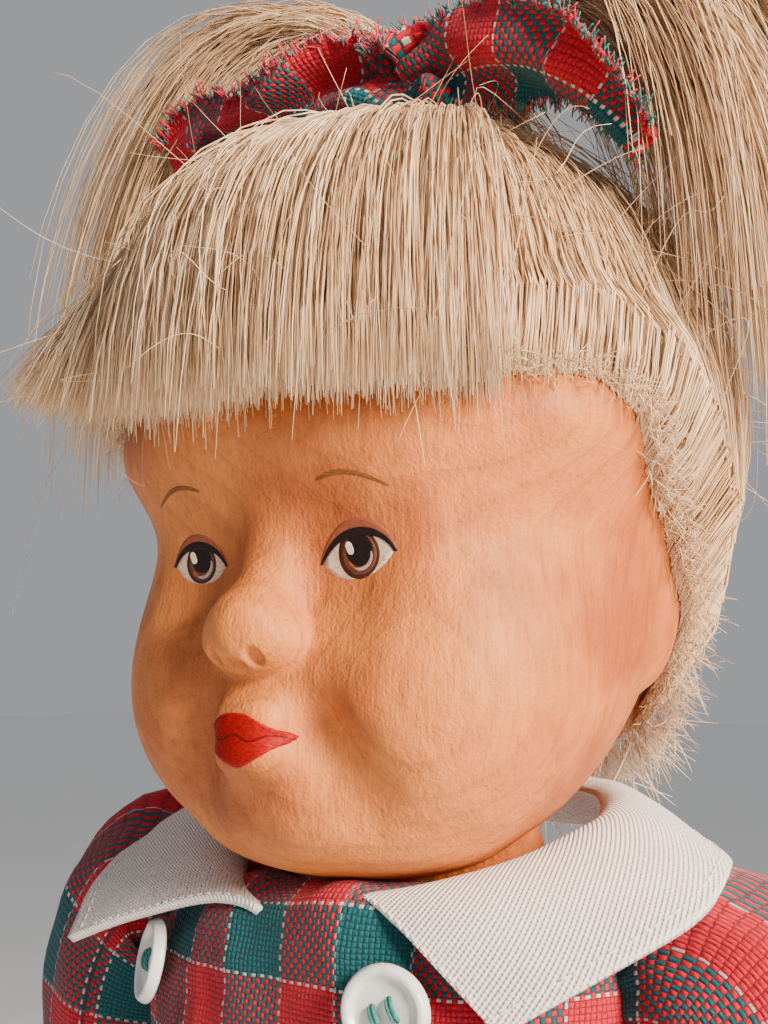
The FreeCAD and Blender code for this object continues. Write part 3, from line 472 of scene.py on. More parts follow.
def clipped_disc(side, shift, up, radius):
    """A disc in the eye, cut off by the upper lid."""

    def outline(angle):
        reach = np.full_like(angle, radius)
        for _ in range(30):
            u = side * (shift + reach * np.cos(angle)) / EYE_WIDE
            over = up + reach * np.sin(angle) > lid_height(np.clip(u, -1, 1)) + SLANT[side] * u - 0.1
            reach = np.where(over, reach * 0.96, reach)
        return reach

    return outline


def swelling(ends, more, power):
    """The width of a stroke that is widest halfway."""
    return lambda t: ends + more * np.sin(math.pi * t) ** power


def build_eye(side, paints):
    """One painted eye and its brow. side is 1 on the doll's left; the right eye is a little smaller."""
    tag = "left" if side > 0 else "right"
    x0 = side * EYE_X
    small = 1.0 if side > 0 else 0.88
    slant = SLANT[side]

    def white_outline(angle):
        reach = np.full_like(angle, EYE_WIDE * 1.2)
        for _ in range(60):
            u = side * reach * np.cos(angle) / (EYE_WIDE * small)
            v = reach * np.sin(angle) / small - slant * u
            held = np.clip(u, -1, 1)
            inside = (np.abs(u) < 1) & (v < lid_height(held)) & (v > lower_height(held))
            reach = np.where(inside, reach, reach * 0.965)
        return reach

    painted_patch(f"eye_white_{tag}", (x0, EYE_Z), white_outline, paints["white"], 0.02)
    shift = 0.15  # both irises look a little to the doll's left
    middle = (x0 + shift, EYE_Z + 0.1)
    pupil = (middle[0] + 0.1, middle[1] + 0.5)
    for part, at, disc, paint, lift in (
        ("iris_rim", middle, (shift, 0.1, IRIS * small), "dark_brown", 0.04),
        ("iris", middle, (shift, 0.1, (IRIS - RIM) * small), "brown", 0.06),
        ("pupil", pupil, (shift + 0.1, 0.6, 1.9 * small), "black", 0.08),
    ):
        painted_patch(f"eye_{part}_{tag}", at, clipped_disc(side, *disc), paints[paint], lift)

    def arc(radius, start, sweep):
        return lambda t: (
            middle[0] + radius * np.cos(np.radians(start + sweep * t)),
            middle[1] + radius * np.sin(np.radians(start + sweep * t)),
        )

    painted_stroke(f"eye_ring_light_{tag}", arc(1.72, -112, 122), swelling(0.02, 0.42, 0.4),
                   paints["rose_grey"], 0.085)
    painted_stroke(f"eye_ring_warm_{tag}", arc(1.68, -152, 42), swelling(0.02, 0.36, 0.4),
                   paints["rust"], 0.085)
    painted_patch(f"eye_glint_{tag}", (middle[0] - 1.25, middle[1] + 0.75),
                  lambda a: 0.62 + 0.16 * np.cos(2 * (a - 1.9)), paints["glint"], 0.11, turns=40)

    def lid(rise):
        def middle_line(t):
            u = -1.04 + 2.1 * t
            v = lid_height(np.clip(u, -0.995, 0.995)) + rise * np.sin(math.pi * t) ** 0.7 + slant * u
            return x0 + side * u * EYE_WIDE * small, EYE_Z + v * small

        return middle_line

    painted_stroke(f"eye_lid_{tag}", lid(0.12), swelling(0.2, 0.72, 0.8), paints["black"], 0.1)
    painted_stroke(f"eye_lid_shadow_{tag}", lid(1.0), swelling(0.25, 0.95, 0.6), paints["rust"], 0.05)

    def brow(t):
        x = (8.6 if side > 0 else 9.6) + 8.8 * t
        return side * x, EYE_Z + 8.0 + 1.7 * np.sin(math.pi * (0.12 + 0.8 * t)) - 0.9 * t

    painted_stroke(f"brow_{tag}", brow, lambda t: 0.16 + 0.42 * np.sin(math.pi * (0.1 + 0.85 * t)) ** 0.8,
                   paints["brow"], 0.03)


def build_mouth(paints):
    """Full closed lips with a bow above, sharp corners, and a dark line where they meet."""
    middle = (0, SKULL[2] - 31.2)
    corner = 6.1

    def top(x):
        u = np.abs(x) / corner
        return 0.9 * (1 - u) + 2.35 * (1 - u**1.6) - 0.35 * np.exp(-((x / 1.1) ** 2)) + 0.1

    def bottom(x):
        u = np.abs(x) / corner
        return -3.35 * np.clip(1 - u**1.5, 0, None) ** 0.85 + 0.45 * u

    def lips(angle):
        reach = np.full_like(angle, corner * 1.2)
        for _ in range(90):
            x, z = reach * np.cos(angle), reach * np.sin(angle)
            held = (np.abs(x) < corner) & (z < top(x)) & (z > bottom(x))
            reach = np.where(held, reach, reach * 0.975)
        return reach

    painted_patch("lips", middle, lips, paints["red"], 0.05, rings=14, turns=140)

    def line(t):
        x = corner * (2 * t - 1) * 0.93
        return x, middle[1] + 0.15 + 0.35 * np.cos(x * 1.5) - 0.02 * np.abs(x)

    painted_stroke("lip_line", line, swelling(0.06, 0.14, 0.6), paints["dark_red"], 0.07)


def face_paints():
    return {
        "white": paint_material("paint_white", srgb(214, 192, 170), srgb(180, 146, 120)),
        "black": paint_material("paint_black", srgb(22, 16, 16), srgb(38, 26, 24)),
        "dark_brown": paint_material("paint_dark_brown", srgb(56, 30, 24), srgb(78, 44, 34)),
        "brown": paint_material("paint_brown", srgb(106, 62, 48), srgb(84, 46, 36)),
        "rose_grey": paint_material("paint_rose_grey", srgb(190, 160, 158), srgb(160, 126, 124)),
        "rust": paint_material("paint_rust", srgb(150, 82, 56), srgb(126, 66, 46)),
        "glint": paint_material("paint_glint", srgb(240, 222, 200), srgb(222, 190, 160)),
        "brow": paint_material("paint_brow", srgb(112, 66, 30), srgb(140, 88, 48)),
        "red": paint_material("paint_red", srgb(158, 0, 0), srgb(112, 0, 0), rough=0.55),
        "dark_red": paint_material("paint_dark_red", srgb(96, 6, 8), srgb(70, 4, 6)),
    }


# Hair.


def held_in(paths):
    """Draws hair that strays far out to the sides, front or back gently inwards."""
    out = paths.copy()
    for k, (free, most) in enumerate(((60, 77.5), (43, 56))):
        far = np.abs(paths[..., k])
        drawn = free + (most - free) * np.tanh((far - free) / (most - free))
        out[..., k] = np.where(far > free, np.sign(paths[..., k]) * drawn, paths[..., k])
    return out


def strands(name, paths, width, material, nodes=(), taper=0.35):
    """Hairs on the head: thin closed three-sided tubes, one along each path, in meshes of a limited size."""
    count, steps, _ = paths.shape
    most = MESH_FACES // (6 * steps - 4)
    if count > most:
        for number, start in enumerate(range(0, count, most)):
            part = slice(start, start + most)
            strands(f"{name}_{number + 1}", paths[part], width[part], material, nodes, taper)
            nodes = ()
        return
    paths = held_in(paths)
    tangents = np.gradient(paths, axis=1)
    tangents /= np.maximum(np.linalg.norm(tangents, axis=2, keepdims=True), 1e-9)
    lean = RANDOM.normal(size=(count, 1, 3))
    side = np.cross(tangents, lean)
    side /= np.maximum(np.linalg.norm(side, axis=2, keepdims=True), 1e-9)
    other = np.cross(tangents, side)
    share = np.linspace(0, 1, steps)
    radius = (width / 2)[:, None] * (1 - (1 - taper) * share**3)[None]
    corners = []
    for k in range(3):
        turn = 2 * math.pi * k / 3
        corners.append(paths + radius[..., None] * (side * math.cos(turn) + other * math.sin(turn)))
    points = np.stack(corners, 2).reshape(-1, 3)
    base = (np.arange(count) * steps * 3)[:, None, None]
    step = (np.arange(steps - 1) * 3)[None, :, None]
    k = np.arange(3)[None, None]
    a, b = base + step + k, base + step + (k + 1) % 3
    quads = np.stack((a, b, b + 3, a + 3), -1).reshape(-1, 4)
    start = base[:, 0] + np.array((0, 2, 1))
    end = base[:, 0] + (steps - 1) * 3 + np.array((0, 1, 2))
    mesh = new_mesh(name, points, np.concatenate((cut_quads(quads), start, end)))
    tone = mesh.attributes.new("tone", "FLOAT", "POINT")
    tone.data.foreach_set("value", np.repeat(RANDOM.uniform(size=count), steps * 3).astype(np.float32))
    piece(name, mesh, material, "head", nodes)


def hair_material():
    """Pale blonde hair, lighter and darker from hair to hair, with a long soft shine."""
    shader = Shader("blonde_hair", Specular_IOR_Level=0.55, Sheen_Weight=0.15, Sheen_Roughness=0.4)
    tone = shader.node("ShaderNodeAttribute", {}, attribute_name="tone").outputs["Fac"]
    patch = shader.noise(shader.place(), 0.05, 2.0)
    lock = shader.noise(shader.vector("MULTIPLY", shader.place(), (1, 1, 0.15)), 0.45, 2.0)
    coarse = shader.math("MULTIPLY_ADD", lock, 0.7, shader.math("MULTIPLY", patch, 0.4))
    blend = shader.math("MULTIPLY_ADD", tone, 0.5, shader.math("SUBTRACT", coarse, 0.25))
    low = shader.mix(shader.remap(blend, 0.1, 0.5), srgb(168, 124, 82), srgb(214, 174, 130))
    shader.colour(shader.mix(shader.remap(blend, 0.5, 0.95), low, srgb(246, 222, 188)))
    shader.rough(shader.remap(tone, 0, 1, 0.32, 0.46))
    return shader.material


def underhair_material():
    shader = Shader("underhair", roughness=0.7)
    place = shader.place()
    streak = shader.noise(shader.vector("MULTIPLY", place, (1.6, 1.6, 0.2)), 1.4, 3.0, 0.6)
    shader.colour(shader.mix(shader.remap(streak, 0.35, 0.65), srgb(168, 128, 92), srgb(206, 168, 130)))
    shader.bump((streak, 0.5))
    return shader.material


KNOT = np.array((0, 6, CROWN_Z + 15))  # where the hair is tied
HAIRLINE = np.array(  # from the temple, past the ear, to the middle of the nape, on the doll's left
    (
        (19, -30.5, 366), (26.8, -23, 364.5), (31, -16.5, 365), (33.4, -10.5, 360.5),
        (34.2, -4, 355), (34.2, 2, 350.5), (32.6, 7.5, 343), (29.8, 12.5, 336),
        (26, 18.5, 330.5), (20, 23.5, 325), (10, 27, 321), (0, 28, 320),
    ),
    float,
)


def along_line(line, share):
    """Points at shares 0 to 1 of a polyline's length."""
    length = lengths_along(line)
    at = np.asarray(share) * length[-1]
    return np.stack([np.interp(at, length, line[:, k]) for k in range(3)], -1)


def skull_reach(directions):
    """How far the skull's surface lies from its middle, along unit directions."""
    return 1 / np.linalg.norm(directions / SKULL_HALVES, axis=-1)


def arcs_over_skull(roots, ends, steps, rise):
    """Paths from roots to ends that pass over the skull, at a height above it given by rise(share)."""
    share = np.linspace(0, 1, steps)
    a, b = roots - SKULL, ends - SKULL
    length_a, length_b = np.linalg.norm(a, axis=1), np.linalg.norm(b, axis=1)
    ua, ub = a / length_a[:, None], b / length_b[:, None]
    angle = np.arccos(np.clip((ua * ub).sum(1), -1, 1))[:, None, None]
    t = share[None, :, None]
    turned = (np.sin((1 - t) * angle) * ua[:, None] + np.sin(t * angle) * ub[:, None]) / np.sin(angle)
    turned /= np.linalg.norm(turned, axis=2, keepdims=True)
    high_a = (length_a - skull_reach(ua))[:, None]
    high_b = (length_b - skull_reach(ub))[:, None]
    height = high_a * (1 - share) ** 3 + high_b * share**4 + rise(share)
    return above_wood(SKULL + turned * (skull_reach(turned) + height)[..., None], rise(share) * 0.8)


def above_wood(paths, gap):
    """Moves points away from the head's middle until they stand clear of the carved wood."""
    for _ in range(2):
        away = paths - SKULL
        away /= np.linalg.norm(away, axis=-1, keepdims=True)
        short = np.clip(gap + 0.2 - head_distance(paths), 0, 8)
        paths = paths + away * short[..., None]
    return paths


def waver(paths, amount, grow=1.0, waves=2.0):
    """Bends every path a little its own way, more towards its end."""
    count, steps, _ = paths.shape
    share = np.linspace(0, 1, steps)
    out = paths.copy()
    for k in range(3):
        phase = RANDOM.uniform(0, 2 * math.pi, (count, 1))
        size = RANDOM.normal(0, amount, (count, 1))
        rate = RANDOM.uniform(0.5, 1.0, (count, 1)) * waves
        out[..., k] += size * (np.sin(phase + rate * math.pi * share) - np.sin(phase)) * share**grow
    return out


def locks(count, per_lock, spread):
    """A lock's number for each hair, and each hair's own small shift from the lock's middle."""
    number = np.repeat(np.arange(math.ceil(count / per_lock)), per_lock)[:count]
    return number, RANDOM.normal(0, spread, (count, 3))


def build_swept_hair(hair):
    """Hair swept up from the temples, ears and nape to the knot."""
    for side, tag in ((1, "left"), (-1, "right")):
        for part, low, high in (("front", 0.02, 0.55), ("back", 0.5, 1.02)):
            count = 3900
            number, shift = locks(count, 13, 0.55)
            lock_at = RANDOM.uniform(low, high, number.max() + 1)
            share = np.clip(lock_at[number] + RANDOM.normal(0, 0.008, count), 0, 1)
            roots = along_line(HAIRLINE, share) + shift * 0.6
            depth = RANDOM.uniform(0, 1, count) ** 0.75
            spin = np.arctan2(roots[:, 1] - KNOT[1], roots[:, 0])
            ends = np.stack((7.5 * np.cos(spin), 7.5 * np.sin(spin), np.full(count, -4.0)), 1)
            ends = KNOT + ends + shift * 0.7
            lift = 1.0 + 6.9 * depth
            flat = 0.5 * smoothstep(0.42, 0.62, share)  # the nape's hair lies closer than the temples'
            lock_lift = RANDOM.normal(0, 0.7, number.max() + 1)[number]

            def rise(s, lift=lift, flat=flat, lock_lift=lock_lift):
                puff = smoothstep(0, 0.16, s) * (1 - 0.55 * smoothstep(0.6, 1, s))
                close = 1 - flat[:, None] * (1 - smoothstep(0.2, 0.5, s))[None]
                return (lift[:, None] * close + lock_lift[:, None]) * puff[None]

            paths = arcs_over_skull(roots, ends, 13, rise)
            paths = waver(paths, np.where(RANDOM.uniform(size=(count, 1)) < 0.14, 1.7, 0.5), 0.7, 3)
            paths[..., 0] = side * np.abs(paths[..., 0])
            strands(f"hair_swept_{part}_{tag}", paths, RANDOM.uniform(0.16, 0.3, count), hair)


def build_fringe(hair):
    """The thick straight fringe, from in front of the knot over the brow, flaring out on the doll's right."""
    for part, low, high in (("left", -70, 4), ("right", -20, 47)):
        count = 3950
        number, shift = locks(count, 11, 0.55)
        lock_turn = RANDOM.uniform(low, high, number.max() + 1)
        sway = RANDOM.normal(0, 3.2, number.max() + 1)[number]
        degrees = lock_turn[number] + RANDOM.normal(0, 0.7, count)
        turn = np.radians(degrees)
        flare = smoothstep(12, 64, -degrees)
        depth = RANDOM.uniform(0, 1, count) ** 0.7
        lock_end = RANDOM.normal(0, 0.9, number.max() + 1)[number]
        reach = 1.5 + 8.5 * depth + 13.0 * flare + lock_end
        wide = SKULL_HALVES[0] * 0.97 + reach
        deep = SKULL_HALVES[1] * 0.99 + reach
        low_z = 362.5 + 1.6 * np.cos(turn) + 9.5 * smoothstep(20, 68, -degrees)
        low_z = low_z + RANDOM.normal(0, 0.8, count) - 0.6 * lock_end
        ends = np.stack((wide * np.sin(turn), -deep * np.cos(turn), low_z), 1) + shift * 0.5
        root_turn = turn * 0.8 + np.radians(10 + sway)
        roots = np.stack((9 * np.sin(root_turn), -9 * np.cos(root_turn), np.full(count, -6.5)), 1)
        roots = KNOT + roots + shift * 0.6
        share = np.linspace(0, 1, 12)[None, :, None]
        crown = 12.5 + 2.5 * depth
        wide, deep = (SKULL_HALVES[k] * 0.72 + crown * 0.6 for k in (0, 1))
        shoulder = np.stack((wide * np.sin(turn), -deep * np.cos(turn), CROWN_Z - 8 + crown * 0.55), 1)
        straight = (roots + ends) / 2 + (0, 0, 3.5)
        shoulder += (straight - shoulder) * (0.75 * flare)[:, None]
        a, b, c = roots[:, None], shoulder[:, None], ends[:, None]
        b = 2 * b - (a + c) / 2  # the curve's handle, so that it passes through the shoulder
        paths = a * (1 - share) ** 2 + 2 * b * share * (1 - share) + c * share**2
        paths = waver(paths, np.where(RANDOM.uniform(size=(count, 1)) < 0.16, 1.7, 0.8), 1.2, 1.8)
        nodes = ("hair_fringe",) if part == "left" else ()
        strands(f"hair_fringe_{part}", paths, RANDOM.uniform(0.16, 0.32, count), hair, nodes)


def build_tails(hair):
    """The topknot's two tails, each arching up and falling beside the head."""
    for side, tag in ((1, "left"), (-1, "right")):
        count = 3900 if side > 0 else 2600
        number, shift = locks(count, 18, 0.9)
        spread = RANDOM.normal(0, 1, (number.max() + 1, 3))[number]
        share = np.linspace(0, 1, 14)
        arch = 26 + 1.2 * spread[:, :1]
        stations = (0, 0.12, 0.3, 0.45, 0.62, 0.8, 1)
        out = np.interp(share, stations, (0.05, 0.12, 0.55, 1.05, 1.6, 1.95, 2.02))
        up = np.interp(share, stations, (-0.35, 0.3, 0.95, 1.02, 0.55, -0.35, -1.55))
        kernel = np.array((0.25, 0.5, 0.25))
        out[1:-1], up[1:-1] = np.convolve(out, kernel, "valid"), np.convolve(up, kernel, "valid")
        loose = 4.6 if side > 0 else 1.5
        fan = 1.5 + loose * smoothstep(0.05, 0.5, share) + 1.2 * smoothstep(0.6, 1, share)
        wider = 1.0 if side > 0 else 1.12
        forward = 0.0 if side > 0 else 9.0
        x = side * (arch * wider * out[None] + fan[None] * spread[:, :1])
        y = 8 + 2 * share[None] - forward * smoothstep(0.1, 0.6, share)[None]
        y = y + fan[None] * spread[:, 1:2] * 1.1
        z = KNOT[2] - 5 + arch * up[None] + fan[None] * spread[:, 2:3] * 0.6
        reach = RANDOM.uniform(0.72, 1.0, (count, 1))
        length = share[None] * reach
        paths = np.stack(
            [np.stack([np.interp(length[n], share, axis[n]) for n in range(count)]) for axis in (x, y, z)], -1
        )
        paths += shift[:, None] * (0.35 + 0.65 * share[None, :, None])
        paths = waver(paths, 1.6, 1.2, 1.6)
        strands(f"tail_strands_{tag}", paths, RANDOM.uniform(0.16, 0.32, count), hair, (f"hair_tail_{tag}",))


def build_flyaways(hair):
    """Single loose hairs that curl off the crown."""
    count = 420
    turn = RANDOM.uniform(-math.pi, math.pi, count)
    tilt = RANDOM.uniform(0.15, 1.5, count)
    out = np.stack((np.sin(tilt) * np.sin(turn), -np.sin(tilt) * np.cos(turn), np.cos(tilt)), 1)
    roots = SKULL + out * (skull_reach(out) + 6)[:, None]
    keep = (roots[:, 2] > 366) | (roots[:, 1] > 2)
    roots, out = roots[keep], out[keep]
    count = len(roots)
    share = np.linspace(0, 1, 12)[None, :, None]
    length = RANDOM.uniform(7, 25, (count, 1, 1))
    drift = RANDOM.normal(0, 1, (count, 1, 3))
    drift[..., 2] -= 0.5
    curl = RANDOM.normal(0, 1, (count, 1, 3))
    paths = roots[:, None] + out[:, None] * length * 0.45 * share**0.8 + drift * length * 0.5 * share
    paths += curl * length * 0.22 * np.sin(share * math.pi * RANDOM.uniform(0.6, 1.6, (count, 1, 1)))
    from_skull = paths - SKULL
    unit = from_skull / np.linalg.norm(from_skull, axis=2, keepdims=True)
    short = np.maximum(skull_reach(unit) + 3.5 - np.linalg.norm(from_skull, axis=2), 0)
    paths = paths + unit * short[..., None]
    low = np.clip(332 - paths[..., 2], 0, None)
    paths[..., 2] += low * 0.7
    strands("hair_flyaways", paths, RANDOM.uniform(0.07, 0.13, count), hair, taper=0.6)


def build_short_ends(hair):
    """Fine short hairs along the hairline, longest at the nape."""
    count = 3400
    at = RANDOM.uniform(0.0, 1.0, count) ** 0.9
    roots = along_line(HAIRLINE, at) + RANDOM.normal(0, 0.9, (count, 3))
    side = np.where(RANDOM.uniform(size=count) > 0.5, 1.0, -1.0)
    roots[:, 0] *= side
    away = roots - SKULL
    away /= np.linalg.norm(away, axis=1, keepdims=True)
    length = RANDOM.uniform(2.5, 6.5, (count, 1, 1)) * (0.5 + 0.9 * smoothstep(0.6, 1, at))[:, None, None]
    toss = RANDOM.normal(0, 0.5, (count, 1, 3))
    toss[..., 2] -= 0.35
    root = above_wood(roots, 0) + away * RANDOM.uniform(0, 3.6, (count, 1))
    share = np.linspace(0, 1, 6)[None, :, None]
    paths = root[:, None] + away[:, None] * length * share * 0.6 + toss * length * share**1.4
    strands("hair_short_ends", paths, RANDOM.uniform(0.1, 0.18, count), hair, taper=0.4)


def build_underhair(material):
    """The mass of hair under the strands: over the skull from the hairline up to the knot."""
    turns, rings = 160, 60
    turn = np.linspace(0, 2 * math.pi, turns, endpoint=False)
    share = np.linspace(0, 1, rings)
    left = np.concatenate((((0, -37, 373.0), (12, -34, 373.0)), HAIRLINE))
    right = left[::-1][1:-1] * (-1, 1, 1)
    around = np.concatenate((left, right, left[:1]))
    rim = along_line(around, turn / (2 * math.pi))
    ends = KNOT + np.stack((6 * np.sin(turn), -6 * np.cos(turn), np.full(turns, -5.0)), 1)

    def rise(s):
        top = smoothstep(0.35, 0.8, s) * (1 - smoothstep(0.93, 1, s))
        return (0.3 + 1.8 * smoothstep(0, 0.3, s) + 2.2 * top)[None]

    paths = arcs_over_skull(rim, ends, rings, rise).transpose(1, 0, 2)
    faces = grid_faces(rings, turns, wrapped=True)
    outside = paths.reshape(-1, 3)
    inside = SKULL + (outside - SKULL) * 0.985
    normals = face_normals_at(outside, faces)
    if (normals * (outside - SKULL)).sum() < 0:
        faces = faces[:, ::-1]
    points, faces = slab(outside, inside, faces)
    piece("hair_underlayer", new_mesh("hair_underlayer", points, faces), material, "head",
          ("hair_sides", "wig_cap"))


# Cloth.


def plaid_material(name, red, teal, check=9.0, pitch=0.65, depth=0.16):
    """A plain weave of red and teal threads in equal checks, with a white thread where the colours change."""
    shader = Shader(name, roughness=0.85, Specular_IOR_Level=0.25, Sheen_Weight=0.08, Sheen_Roughness=0.5)
    cloth = shader.cloth()
    warp = shader.noise(shader.vector("MULTIPLY", cloth, (0.12, 0.12, 0)), 1.0, 2.0)
    drift = shader.math("MULTIPLY_ADD", warp, 0.7, -0.35)
    part = shader.node("ShaderNodeSeparateXYZ", {0: cloth})
    u = shader.math("ADD", part.outputs[0], drift)
    v = shader.math("ADD", part.outputs[1], drift)
    threads = []
    for along in (u, v):
        turn = shader.math("FRACT", shader.math("DIVIDE", along, 2 * check))
        is_red = shader.math("LESS_THAN", turn, 0.5)
        edge = shader.math("FRACT", shader.math("DIVIDE", along, check))
        is_white = shader.math("LESS_THAN", edge, 0.55 * pitch / check)
        number = shader.math("DIVIDE", along, pitch)
        count = shader.math("FLOOR", number)
        hump = shader.math("SINE", shader.math("MULTIPLY", shader.math("FRACT", number), math.pi))
        colour = shader.mix(is_white, shader.mix(is_red, teal, red), srgb(196, 186, 184))
        threads.append((colour, count, hump))
    crossing = shader.math("ADD", threads[0][1], threads[1][1])
    parity = shader.math("MODULO", shader.math("ABSOLUTE", crossing), 2.0)
    colour = shader.mix(parity, threads[0][0], threads[1][0])
    fuzz = shader.noise(cloth, 2.2, 3.0, 0.65)
    lint = shader.noise(cloth, 5.0, 1.0)
    colour = shader.mix(shader.remap(fuzz, 0.35, 0.8, 0.0, 0.5), colour, srgb(24, 20, 24))
    colour = shader.mix(shader.remap(lint, 0.62, 0.8, 0.0, 0.16), colour, srgb(214, 196, 196))
    over = shader.math("MULTIPLY", threads[0][2], shader.math("POWER", threads[1][2], 0.35))
    under = shader.math("MULTIPLY", threads[1][2], shader.math("POWER", threads[0][2], 0.35))
    high = shader.node("ShaderNodeMix", {0: parity, 2: over, 3: under}, data_type="FLOAT").outputs[0]
    # Painted shade: where a thread dips low between and under the crossing threads, its colour is darkened towards
    # near black.
    shader.colour(shader.mix(shader.remap(high, 0.0, 0.55, 0.62, 0.0), colour, srgb(14, 14, 18)))
    shader.bump((high, depth), (fuzz, 0.1))
    return shader.material


def twill_material():
    """White cotton twill: fine ribs on the slant."""
    shader = Shader("white_twill", roughness=0.82, Sheen_Weight=0.3, Sheen_Roughness=0.4)
    cloth = shader.cloth()
    part = shader.node("ShaderNodeSeparateXYZ", {0: cloth})
    slant = shader.math("ADD", shader.math("MULTIPLY", part.outputs[0], 0.7), part.outputs[1])
    rib = shader.math("SINE", shader.math("MULTIPLY", slant, 2 * math.pi / 0.62))
    stitch = shader.math("SINE", shader.math("MULTIPLY", part.outputs[0], 2 * math.pi / 0.55))
    fuzz = shader.noise(cloth, 1.8, 3.0, 0.6)
    base = shader.mix(shader.remap(fuzz, 0.3, 0.8), srgb(243, 232, 227), srgb(214, 202, 199))
    # Painted shade: the grooves between the slanted ribs are darkened.
    shader.colour(shader.mix(shader.remap(rib, -1, 0, 0.25, 0), base, srgb(176, 164, 162)))
    shader.bump((rib, 0.07), (stitch, 0.025), (fuzz, 0.1))
    return shader.material


def knit_material():
    shader = Shader("white_knit", roughness=0.9, Sheen_Weight=0.3)
    cloth = shader.cloth()
    part = shader.node("ShaderNodeSeparateXYZ", {0: cloth})
    rib = shader.math("SINE", shader.math("MULTIPLY", part.outputs[0], 2 * math.pi / 1.6))
    row = shader.math("SINE", shader.math("MULTIPLY", part.outputs[1], 2 * math.pi / 0.7))
    fuzz = shader.noise(cloth, 1.5, 3.0, 0.6)
    shader.colour(shader.mix(shader.remap(fuzz, 0.3, 0.8), srgb(236, 228, 220), srgb(208, 198, 190)))
    shader.bump((rib, 0.3), (row, 0.08), (fuzz, 0.1))
    return shader.material


def leather_material(name, light, dark, rough=0.42):
    shader = Shader(name, Coat_Weight=0.15, Coat_Roughness=0.3)
    place = shader.place()
    grain = shader.noise(place, 2.4, 3.0, 0.6)
    wear = shader.noise(place, 0.12, 3.0, 0.6)
    shader.colour(shader.mix(shader.remap(wear, 0.35, 0.7), light, dark))
    shader.rough(shader.remap(wear, 0.3, 0.7, rough - 0.08, rough + 0.16))
    shader.bump((grain, 0.14), (wear, 0.1))
    return shader.material


def metal_material():
    shader = Shader("steel", Metallic=1.0)
    place = shader.place()
    brush = shader.noise(shader.vector("MULTIPLY", place, (0.5, 3, 3)), 1.2, 3.0)
    shader.colour(shader.mix(brush, srgb(186, 186, 188), srgb(150, 150, 154)))
    shader.rough(shader.remap(brush, 0.3, 0.7, 0.26, 0.42))
    return shader.material


def plastic_material(name, light, dark, rough=0.28):
    shader = Shader(name, roughness=rough, Coat_Weight=0.25, Coat_Roughness=0.15)
    place = shader.place()
    cloud = shader.noise(place, 0.35, 3.0, 0.6)
    shader.colour(shader.mix(shader.remap(cloud, 0.35, 0.7), light, dark))
    shader.rough(shader.remap(cloud, 0.3, 0.7, rough - 0.05, rough + 0.1))
    shader.bump((shader.noise(place, 0.5, 2.0), 0.12))
    return shader.material


def thread_material(name, colour, dark):
    shader = Shader(name, roughness=0.7, Sheen_Weight=0.2)
    place = shader.place()
    twist = shader.noise(place, 3.0, 2.0)
    shader.colour(shader.mix(shader.remap(twist, 0.35, 0.65), colour, dark))
    shader.bump((twist, 0.08))
    return shader.material


def ripples(points, size, wave, seed):
    """A smooth random height over space, made of a few crossing waves."""
    source = np.random.default_rng(seed)
    total = np.zeros(points.shape[:-1])
    for _ in range(7):
        direction = source.normal(size=3)
        direction *= 2 * math.pi / (wave * source.uniform(0.7, 1.5) * np.linalg.norm(direction))
        total += np.sin(points @ direction + source.uniform(0, 6.3))
    return total * size / 3


def cloth_piece(name, points, faces, thickness, cloth, material, body, nodes=()):
    """A sheet with thickness that carries the flat cloth's coordinates."""
    normals = face_normals_at(points, faces)
    points_all, faces_all = slab(points, points - normals * thickness, faces)
    mesh = new_mesh(name, points_all, faces_all)
    set_cloth(mesh, np.tile(cloth.reshape(-1, 2), (2, 1)))
    return piece(name, mesh, material, body, nodes)


def super_ring(turn, wide, deep, power):
    """A rounded box outline, x and y, where turn 0 is the front."""
    s, c = np.sin(turn), np.cos(turn)
    return (wide * np.sign(s) * np.abs(s) ** (2 / power), -deep * np.sign(c) * np.abs(c) ** (2 / power))


def smooth_rows(table, count):
    """Rows of numbers made finer, on a smooth curve through them."""
    table = np.asarray(table, float)
    at = np.linspace(0, len(table) - 1, count)
    k = np.clip(at.astype(int), 0, len(table) - 2)
    t = (at - k)[:, None]
    before = table[np.clip(k - 1, 0, None)]
    after = table[np.clip(k + 2, None, len(table) - 1)]
    a, b = table[k], table[k + 1]
    return 0.5 * (2 * a + (b - before) * t + (2 * before - 5 * a + 4 * b - after) * t**2
                  + (3 * a - 3 * b + after - before) * t**3)


BODY_ROWS = (  # height, half width, half depth, middle y, squareness
    (307.2, 18.5, 20.5, -2.5, 2.0),
    (306.2, 23, 24, -2, 2.1),
    (303.5, 29.5, 26.5, -1.5, 2.3),
    (298, 34, 27.8, -1.2, 2.5),
    (290, 36.5, 28.4, -1, 2.6),
    (276, 37, 29, -1, 2.6),
    (258, 36, 29, -1, 2.5),
    (238, 35.5, 29, -0.5, 2.4),
    (218, 37.5, 30, 0, 2.3),
    (200, 40.5, 31, 0.5, 2.3),
    (184, 41.5, 31, 1, 2.3),
    (172, 39, 28.5, 1.5, 2.3),
    (163, 30, 21, 2, 2.2),
    (160, 14, 9, 2, 2.0),
)


